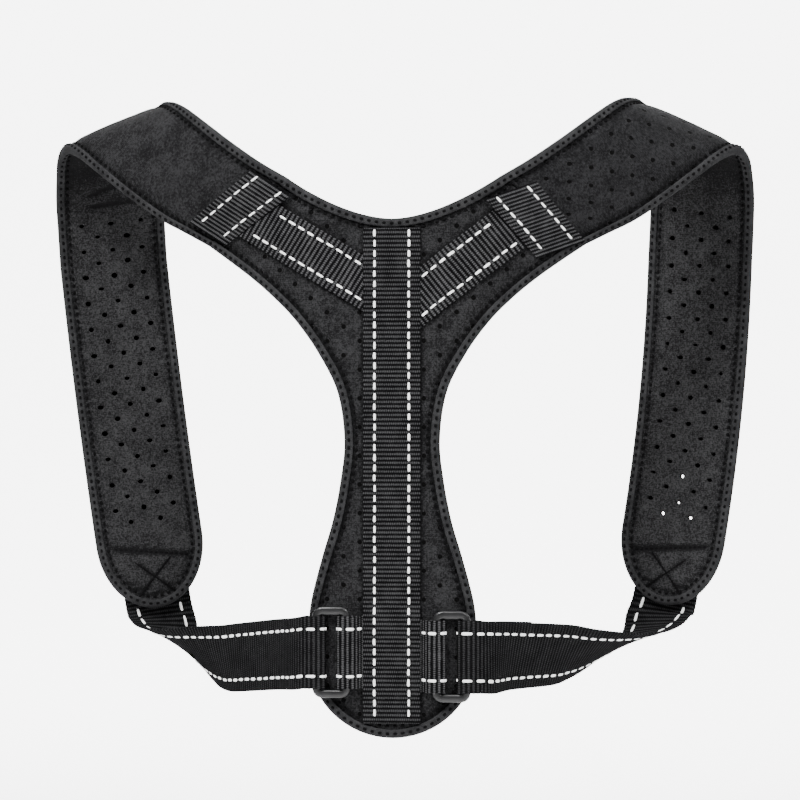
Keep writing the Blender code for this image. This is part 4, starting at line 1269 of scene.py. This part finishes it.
# %% Reflective dashes
# how far the lines lie from the middle, the dashes' width, and their pitch
CENTRE_DASHES = (0.607 * CENTRE_WIDTH / 2, 0.00135, 0.0054)
CROSS_DASHES = (0.62 * CROSS_WIDTH / 2, 0.00118, 0.0063)
DIAGONAL_DASHES = (0.64 * NARROW_WIDTH / 2, 0.00118, 0.0058)
TAB_DASHES = (0.657 * SIDE_WIDTH / 2, 0.00150, 0.0062)
SIDE_DASHES = (0.657 * SIDE_WIDTH / 2, 0.00150, 0.0075)
DASH_SHARE = 0.338  # half a dash's length as a share of the pitch
DASH_RINGS = [(1.0, -0.00020), (1.0, 0.00008), (0.82, 0.00030), (0.45, 0.00040)]  # size, rise
DASH_AROUND = 14  # corners round a dash
uneven_dashes = np.random.default_rng(7)


def dashes(name, surface, start, end, rows, lift, sign, phase=0.0):
    """Two lines of raised white dashes on one face; the sign of lift says which."""
    off_middle, width, pitch = rows
    shape = squared(np.arange(DASH_AROUND) * 2 * pi / DASH_AROUND, 0.55)
    local = np.vstack([np.hstack([shape * size, np.full((DASH_AROUND, 1), rise)])
                       for size, rise in DASH_RINGS])
    one = grid(len(DASH_RINGS), DASH_AROUND, closed=True)
    one += [list(range(DASH_AROUND))[::-1],
            [DASH_AROUND * 3 + place for place in range(DASH_AROUND)]]
    face = np.sign(lift)
    one = facing(one, sign * face)
    points, faces, cloth = [], [], []
    for line in (-off_middle, off_middle):
        first, last = reading(start, line), reading(end, line)
        for step in range(int((last - first - phase) / pitch + 0.15)):
            middle = first + phase + (step + 0.5) * pitch
            jitter = uneven_dashes.normal(0, 1, 4)
            half_long = DASH_SHARE * pitch + jitter[0] * 0.00009
            half_wide = width / 2 + jitter[1] * 0.00004
            along = middle + local[:, 0] * half_long + jitter[2] * 0.00008
            taper = 1 + 0.08 * local[:, 0]
            aside = line + local[:, 1] * half_wide * taper + jitter[3] * 0.00006
            base = len(points) * len(local)
            faces += [[corner + base for corner in item] for item in one]
            points.append(mirrored(surface(along, aside, lift + face * local[:, 2]), sign))
            cloth.append(local[:, :2] * [2.0, 0.9])
    piece = build(name, np.vstack(points), faces, np.vstack(cloth), [GLOWING_WHITE.material])
    dress(piece)


# %% [markdown]
# ### Layer on layer
# Everything that is sewn on lies on what is beneath it: webbing on the panel, tabs on the panel and
# under the centre webbing, rings in their folds. A few heights above the panel's middle say so.

# %% How high each layer lies
OVER_BINDING = half_thickness(BINDING_WIDTH) + BINDING_WALL + 2 * GAP
RING_LIFT = OVER_BINDING + WEB_THICKNESS + GAP + RING_THICKNESS / 2
FOLD_RADIUS = RING_THICKNESS / 2 + GAP + WEB_THICKNESS / 2
LOOSE = 0.0013  # slack of the webbing where it folds round a bar
TOP_FACE = 0.00060  # the webbing's face above its middle, under the dashes


def ring_height(side):
    """Where the middle of a side's ring lies."""
    return NECK_Z - side.ring_down * PANEL_HEIGHT


# %% [markdown]
# ### The centre webbing
# One long webbing covers the panel's middle seam from the neck nearly to the foot. It rides up over
# the ends of the ring tabs and down again, which a shrinkwrap modifier would do as well, but slowly
# and with a slip at each step, so the rise is part of its surface.

# %% The centre webbing
CENTRE_RIB = 0.0023  # this webbing's ribs are a little finer


def centre_webbing():
    """Down the middle of the panel, standing up over the ends of the ring tabs."""
    top, foot = NECK_Z - CENTRE_TOP, FOOT_Z + CENTRE_FOOT
    over = [ring_height(side) for side in SIDES]
    tab_top, tab_foot = max(over) + SIDE_WIDTH / 2 + GAP, min(over) - SIDE_WIDTH / 2 - GAP

    def surface(along, sideways, lift):
        height = top - along
        off = np.maximum(np.maximum(height - tab_top, tab_foot - height), 0)
        rise = WEB_STEP * (1 - ease(off / (SIDE_WIDTH / 5)))
        return back(sideways, height, lift + rise)

    webbing("centre_web", surface, 0.0, top - foot, CENTRE_WIDTH, ON_PANEL, "centre_webbing", 1,
            CENTRE_RIB, CENTRE_WEBBING, 16)
    dashes("centre_dashes", surface, 0.0, top - foot, CENTRE_DASHES, ON_PANEL + TOP_FACE, 1)


# %% [markdown]
# ### Webbing that lies flat on the pads
# The cross webbing covers the seam between the panel and a strap. The diagonal webbing runs from the
# centre webbing to it, with its end cut slantwise along the cross webbing's edge, so its start and
# end depend on the place across it.

# %% The cross and diagonal webbing
def cross_webbing(side):
    surface = cross_surface(side)
    half = CROSS_LENGTH / 2
    base = ON_PANEL + 5 * GAP
    webbing("cross_web_" + side.name, surface, -half, half, CROSS_WIDTH, base,
            "cross_webbing_" + side.name, side.sign, seed=6)
    dashes("cross_dashes_" + side.name, surface, -half, half, CROSS_DASHES, base + TOP_FACE,
           side.sign)


def diagonal_webbing(side):
    begin, run, square, near, stop = diagonal_frame(side)

    def surface(along, sideways, lift):
        along, sideways, lift = np.broadcast_arrays(along, sideways, lift)
        spots = begin + run * along[..., None] + square * sideways[..., None]
        return back(spots[..., 0], spots[..., 1], lift)

    def start(sideways):
        return -sideways * square[0] / run[0]

    def end(sideways):
        towards = near - begin - np.multiply.outer(sideways, square)
        reach = towards[..., 0] * stop[1] - towards[..., 1] * stop[0]
        return reach / (run[0] * stop[1] - run[1] * stop[0]) - 2 * GAP

    webbing("diagonal_web_" + side.name, surface, start, end, NARROW_WIDTH, ON_PANEL,
            "diagonal_webbing_" + side.name, side.sign, seed=8)
    dashes("diagonal_dashes_" + side.name, surface, start, end, DIAGONAL_DASHES,
           ON_PANEL + TOP_FACE, side.sign)


# %% [markdown]
# ### Ring tabs
# A tab is a short piece of webbing that goes over the ring's inner bar, round it and back beneath
# itself, with its ends sewn under the centre webbing. Its rows are set round the bar at a radius
# that leaves the webbing's own thickness and a little slack, so nothing cuts into the ring.

# %% Folds round a bar, and the ring tabs
def fold_round(bar_out, height, opens):
    """Rows over a long bar, round it on the slot's side, and back beneath it."""
    flat = (RING_BAR - RING_THICKNESS) / 2
    turns = np.linspace(0, pi, 13)
    return [((bar_out + opens * (flat + (FOLD_RADIUS + LOOSE) * sin(turn)),
              BACK_Y - RING_LIFT - FOLD_RADIUS * cos(turn), height), UP) for turn in turns]


def plan(points, height):
    """Rows of a ribbon that stands on edge, from places out from the middle and off the panel."""
    return [((out, BACK_Y - depth, height), UP) for out, depth in points]


def ring_tab(side):
    height = ring_height(side)
    edge = CENTRE_WIDTH / 2
    bar = RING_OUT - RING_SPAN / 2
    start = bar - (RING_BAR - RING_THICKNESS) / 2
    above, below = RING_LIFT + FOLD_RADIUS, RING_LIFT - FOLD_RADIUS
    slope = bar - RING_BAR / 2 - edge
    outer = [(edge + 2 * GAP, ON_PANEL),
             (edge + 0.28 * slope, blend(ON_PANEL, above, 0.12)),
             (edge + 0.62 * slope, blend(ON_PANEL, above, 0.66)),
             (edge + 0.90 * slope, blend(ON_PANEL, above, 0.97)), (start, above)]
    inner = [(start, below), (start - TAB_RETURN / 2, blend(below, ON_PANEL, 0.75)),
             (start - TAB_RETURN, ON_PANEL)]
    outer = smooth(outer, np.linspace(0, 4, 13))
    inner = smooth(inner, np.linspace(0, 2, 5))[1:]
    rows = plan([(edge - TUCK, ON_PANEL)], height) + plan(outer[:-1], height)
    rows += fold_round(bar, height, 1) + plan(inner, height)
    surface, length = ribbon_surface(rows, -1)
    webbing("tab_web_" + side.name, surface, 0.0, length, SIDE_WIDTH, 0.0,
            "ring_tab_" + side.name, side.sign, seed=9)
    shown = TUCK + (bar - edge) + 0.011
    dashes("tab_dashes_" + side.name, surface, TUCK, shown, TAB_DASHES, TOP_FACE, side.sign)


# %% [markdown]
# ### Side straps
# Each side strap is sewn on the outside of a shoulder strap's foot, turns over itself in a slack
# fold, and leads to the ring, round its bar and back. A cloth simulation of a ribbon held at both
# ends would settle somewhere else each time a size changes. Here a table follows the real twist:
# place, sag, roll and swing of the ribbon at each row.

# %% The side straps
def side_rows(side):
    """Middle and across direction from the sewn end to the ring's outer bar."""
    height = ring_height(side)
    bar = RING_OUT + RING_SPAN / 2 + (RING_BAR - RING_THICKNESS) / 2
    end = np.array([bar, BACK_Y - RING_LIFT - FOLD_RADIUS, height])
    strap = STRAPS[side.name]
    foot = strap.length + STRAP_END
    over = OVER_BINDING + WEB_THICKNESS / 2
    rows = []
    for distance in (foot - SEWN_LENGTH, foot - SEWN_LENGTH / 2, foot):
        rows.append(np.append(strap(distance, 0.0, over), strap.read(strap.across, distance)))
    start = rows[-1][:3]
    for out, forward, rise, sag, roll, swing in SIDE_STRAP:
        middle = end + (start - end) * [out, forward, rise]
        middle[2] -= sag * side.sag * SIDE_WIDTH
        roll = 90 * (roll / 90) ** side.curl
        rows.append(np.append(middle, turned(roll - 90, swing)))
    rows.append(np.append(end, UP))
    return np.array(rows)


def side_strap(side):
    """Sewn on a shoulder strap's foot, folded, led to the ring, round its bar and doubled back."""
    table = side_rows(side)
    height = ring_height(side)
    spots = smooth(table, np.arange(0, len(table) - 1 + 1e-9, 1 / 4))
    middles, across = spots[:, :3], unit(spots[:, 3:])
    ahead = np.gradient(middles, axis=0)
    ahead[-1] = (-1, 0, 0)
    outward = unit(np.cross(across, ahead))
    rows = list(zip(middles, across))
    bar = RING_OUT + RING_SPAN / 2
    clear = FOOT_RADIUS + 2 * GAP
    below = RING_LIFT - FOLD_RADIUS
    link = plan([(bar + RING_BAR / 4, below), (clear, below)], height)
    doubled, travelled = [], 0
    for place in range(len(rows) - 2, 0, -1):
        travelled += np.linalg.norm(middles[place + 1] - middles[place])
        if travelled > RETURN_LENGTH:
            break
        if middles[place][0] > clear + RING_BAR:
            doubled.append((middles[place] - outward[place] * WEB_STEP, across[place]))
    sequence = rows[:-1] + fold_round(bar, height, -1) + link + doubled
    surface, length = ribbon_surface(sequence)
    webbing("side_web_" + side.name, surface, 0.0, length, SIDE_WIDTH, 0.0,
            "side_strap_" + side.name, side.sign, RIB, SIDE_WEBBING, 14, 12)
    lead = float(run_of(middles)[-1])
    for name, start, end, lift, phase in (
            ("side_dashes_", 0.002, lead + 0.0105, TOP_FACE, 0.0),
            ("side_dashes_doubled_", lead + 0.016, length - 0.002, TOP_FACE, 0.0),
            ("side_dashes_inner_", SEWN_LENGTH - 0.004, lead - 0.065, -TOP_FACE, 0.002)):
        dashes(name + side.name, surface, start, end, SIDE_DASHES, lift, side.sign, phase)


# %% All the webbing, made
centre_webbing()
for side in SIDES:
    cross_webbing(side)
    diagonal_webbing(side)
    ring_tab(side)
    side_strap(side)


# %% [markdown]
# ## 8. Rings
# Each ring is a moulded rectangle with softly squared bars, held in the folds of its webbing. A box
# with bevels would do, but a squared circle swept round a rectangle gives the worn, even edge of a
# moulding, and the corners keep the bar's full thickness.

# %% Rings
def ring(side):
    """A squared bar swept round a rectangle with rounded corners."""
    half_out = RING_SPAN / 2
    half_up = SIDE_WIDTH / 2 + RING_SLACK + RING_BAR / 2
    profile = squared(np.arange(20) * 2 * pi / 20, 0.62) * [RING_BAR, RING_THICKNESS] / 2
    sections = []
    for quarter in range(4):
        out_sign = 1 if quarter in (0, 3) else -1
        up_sign = 1 if quarter in (0, 1) else -1
        for step in range(9):
            angle = pi / 2 * (quarter + step / 8)
            out = out_sign * (half_out - RING_CORNER) + RING_CORNER * cos(angle)
            up = up_sign * (half_up - RING_CORNER) + RING_CORNER * sin(angle)
            middle = np.array([RING_OUT + out, BACK_Y - RING_LIFT, ring_height(side) + up])
            square = np.array([cos(angle), 0, sin(angle)])
            sections.append(middle + profile[:, :1] * square - profile[:, 1:] * [0, 1, 0])
    points = mirrored(np.vstack(sections), side.sign)
    faces = facing(grid(len(sections), len(profile), closed=True, looped=True), side.sign)
    cloth = points[:, [2, 0]] * 1000
    piece = build("moulded_ring_" + side.name, points, faces, cloth, [PLASTIC.material])
    dress(piece, "ring_" + side.name)


for side in SIDES:
    ring(side)


# %% [markdown]
# ## 9. Studio
# The photograph has a white ground without a horizon. A plain floor would end in one, so the paper
# sweeps up behind the object and glows there, and a wide ground under it closes the other views.

# %% Paper sweep and ground
FLOOR = FOOT_Z - 0.40  # well below the object, so that its shadow stays out of the picture
SWEEP_FROM, SWEEP_HALF = -4, 4  # where the paper starts, and half its breadth
BEND_AT, BEND_RADIUS, WALL_RISE = 1.5, 1.2, 5  # where it bends up, how, and how high it goes
GROUND_HALF, RIM_AT, RIM_RISE = 60, 55, 15  # the ground's rim hides the dark behind it
GLOW = 5.0  # the paper's emission, times its emission colour
PALE, PALER = (0.85, 0.85, 0.85), (0.87, 0.87, 0.87)


def paper(name):
    """A matt white paper, hardly uneven."""
    made = Finish(name, (0.86, 0.86, 0.86), roughness=0.95)
    made.shade(base_color=made.mix(made.noise(3), PALE, PALER), emission_strength=GLOW)
    return made


def studio_floor():
    across = np.linspace(-SWEEP_HALF, SWEEP_HALF, 3)
    ahead = [(place, FLOOR) for place in np.linspace(SWEEP_FROM, BEND_AT, 24)]
    for turn in np.linspace(0, pi / 2, 16)[1:]:
        ahead.append((BEND_AT + BEND_RADIUS * sin(turn), FLOOR + BEND_RADIUS * (1 - cos(turn))))
    ahead.append((BEND_AT + BEND_RADIUS, FLOOR + WALL_RISE))
    points = [(out, depth, height) for depth, height in ahead for out in across]
    sweep = paper("studio_paper")
    place = sweep.node("TexCoord", output=3)
    behind = sweep.node("SeparateXYZ", [place], output=1).between(1.3, 2.2)
    sweep.shade(emission_color=sweep.mix(behind, (0.06, 0.06, 0.06), (1.0, 1.0, 1.0)))
    build("studio_sweep", points, grid(len(ahead), 3), np.zeros((len(points), 2)),
                   [sweep.material])
    ground = paper("studio_ground")
    ground.shade(emission_color=(0.064, 0.064, 0.064, 1.0))
    ends = (-GROUND_HALF, -RIM_AT, RIM_AT, GROUND_HALF)
    corners = [(out, depth, FLOOR - 0.002 + RIM_RISE * (max(abs(out), abs(depth)) > RIM_AT))
               for depth in ends for out in ends]
    build("studio_ground", corners, grid(4, 4), np.zeros((16, 2)), [ground.material])


studio_floor()


# %% [markdown]
# ### Lights
# Black cloth shows its form only in its highlights. Two lamps high on the camera's side rake over
# the ribs and the nap, and two broader ones fill in from above and from the far side.

# %% Lights
MIDDLE = (0, -0.02, -0.15)


def soft_light(name, place, size, power):
    """A square or oblong lamp that looks at the middle of the object."""
    light = bpy.data.lights.new(name, "AREA")
    light.shape = "RECTANGLE"
    light.size, light.size_y = size
    light.energy = power
    lamp = bpy.data.objects.new(name, light)
    lamp.location = place
    lamp.rotation_euler = (Vector(MIDDLE) - Vector(place)).to_track_quat("-Z", "Y").to_euler()
    bpy.context.scene.collection.objects.link(lamp)


# name, place, size, power in watts
LAMPS = (("key", (-0.7, -1.35, 1.5), (0.6, 0.6), 98),
         ("fill", (1.1, -1.35, 1.2), (0.7, 0.7), 48),
         ("top", (0.0, -0.2, 1.9), (1.2, 1.2), 24),
         ("front", (0.3, 2.0, 1.2), (1.4, 1.2), 16))
for lamp in LAMPS:
    soft_light(*lamp)
world = bpy.data.worlds.new("studio")
world.use_nodes = True
backdrop = world.node_tree.nodes["Background"].inputs
backdrop["Color"].default_value = (1, 1, 1, 1)
backdrop["Strength"].default_value = 0.05
bpy.context.scene.world = world
print("lamps:", [light.name for light in bpy.data.lights])

# %% Camera
VIEW_YAW, VIEW_DISTANCE, VIEW_TARGET = radians(4), 1.40, Vector((0, -0.0165, -0.1528))
LENS, SENSOR = 113.8, 36
camera = bpy.data.cameras.new("camera")
camera.lens, camera.sensor_width = LENS, SENSOR
viewer = bpy.data.objects.new("camera", camera)
viewer.location = VIEW_TARGET + Vector((sin(VIEW_YAW), -cos(VIEW_YAW), 0)) * VIEW_DISTANCE
viewer.rotation_euler = (VIEW_TARGET - viewer.location).to_track_quat("-Z", "Y").to_euler()
bpy.context.scene.collection.objects.link(viewer)
bpy.context.scene.camera = viewer
print("camera at", [round(value, 3) for value in viewer.location], "with lens", LENS)
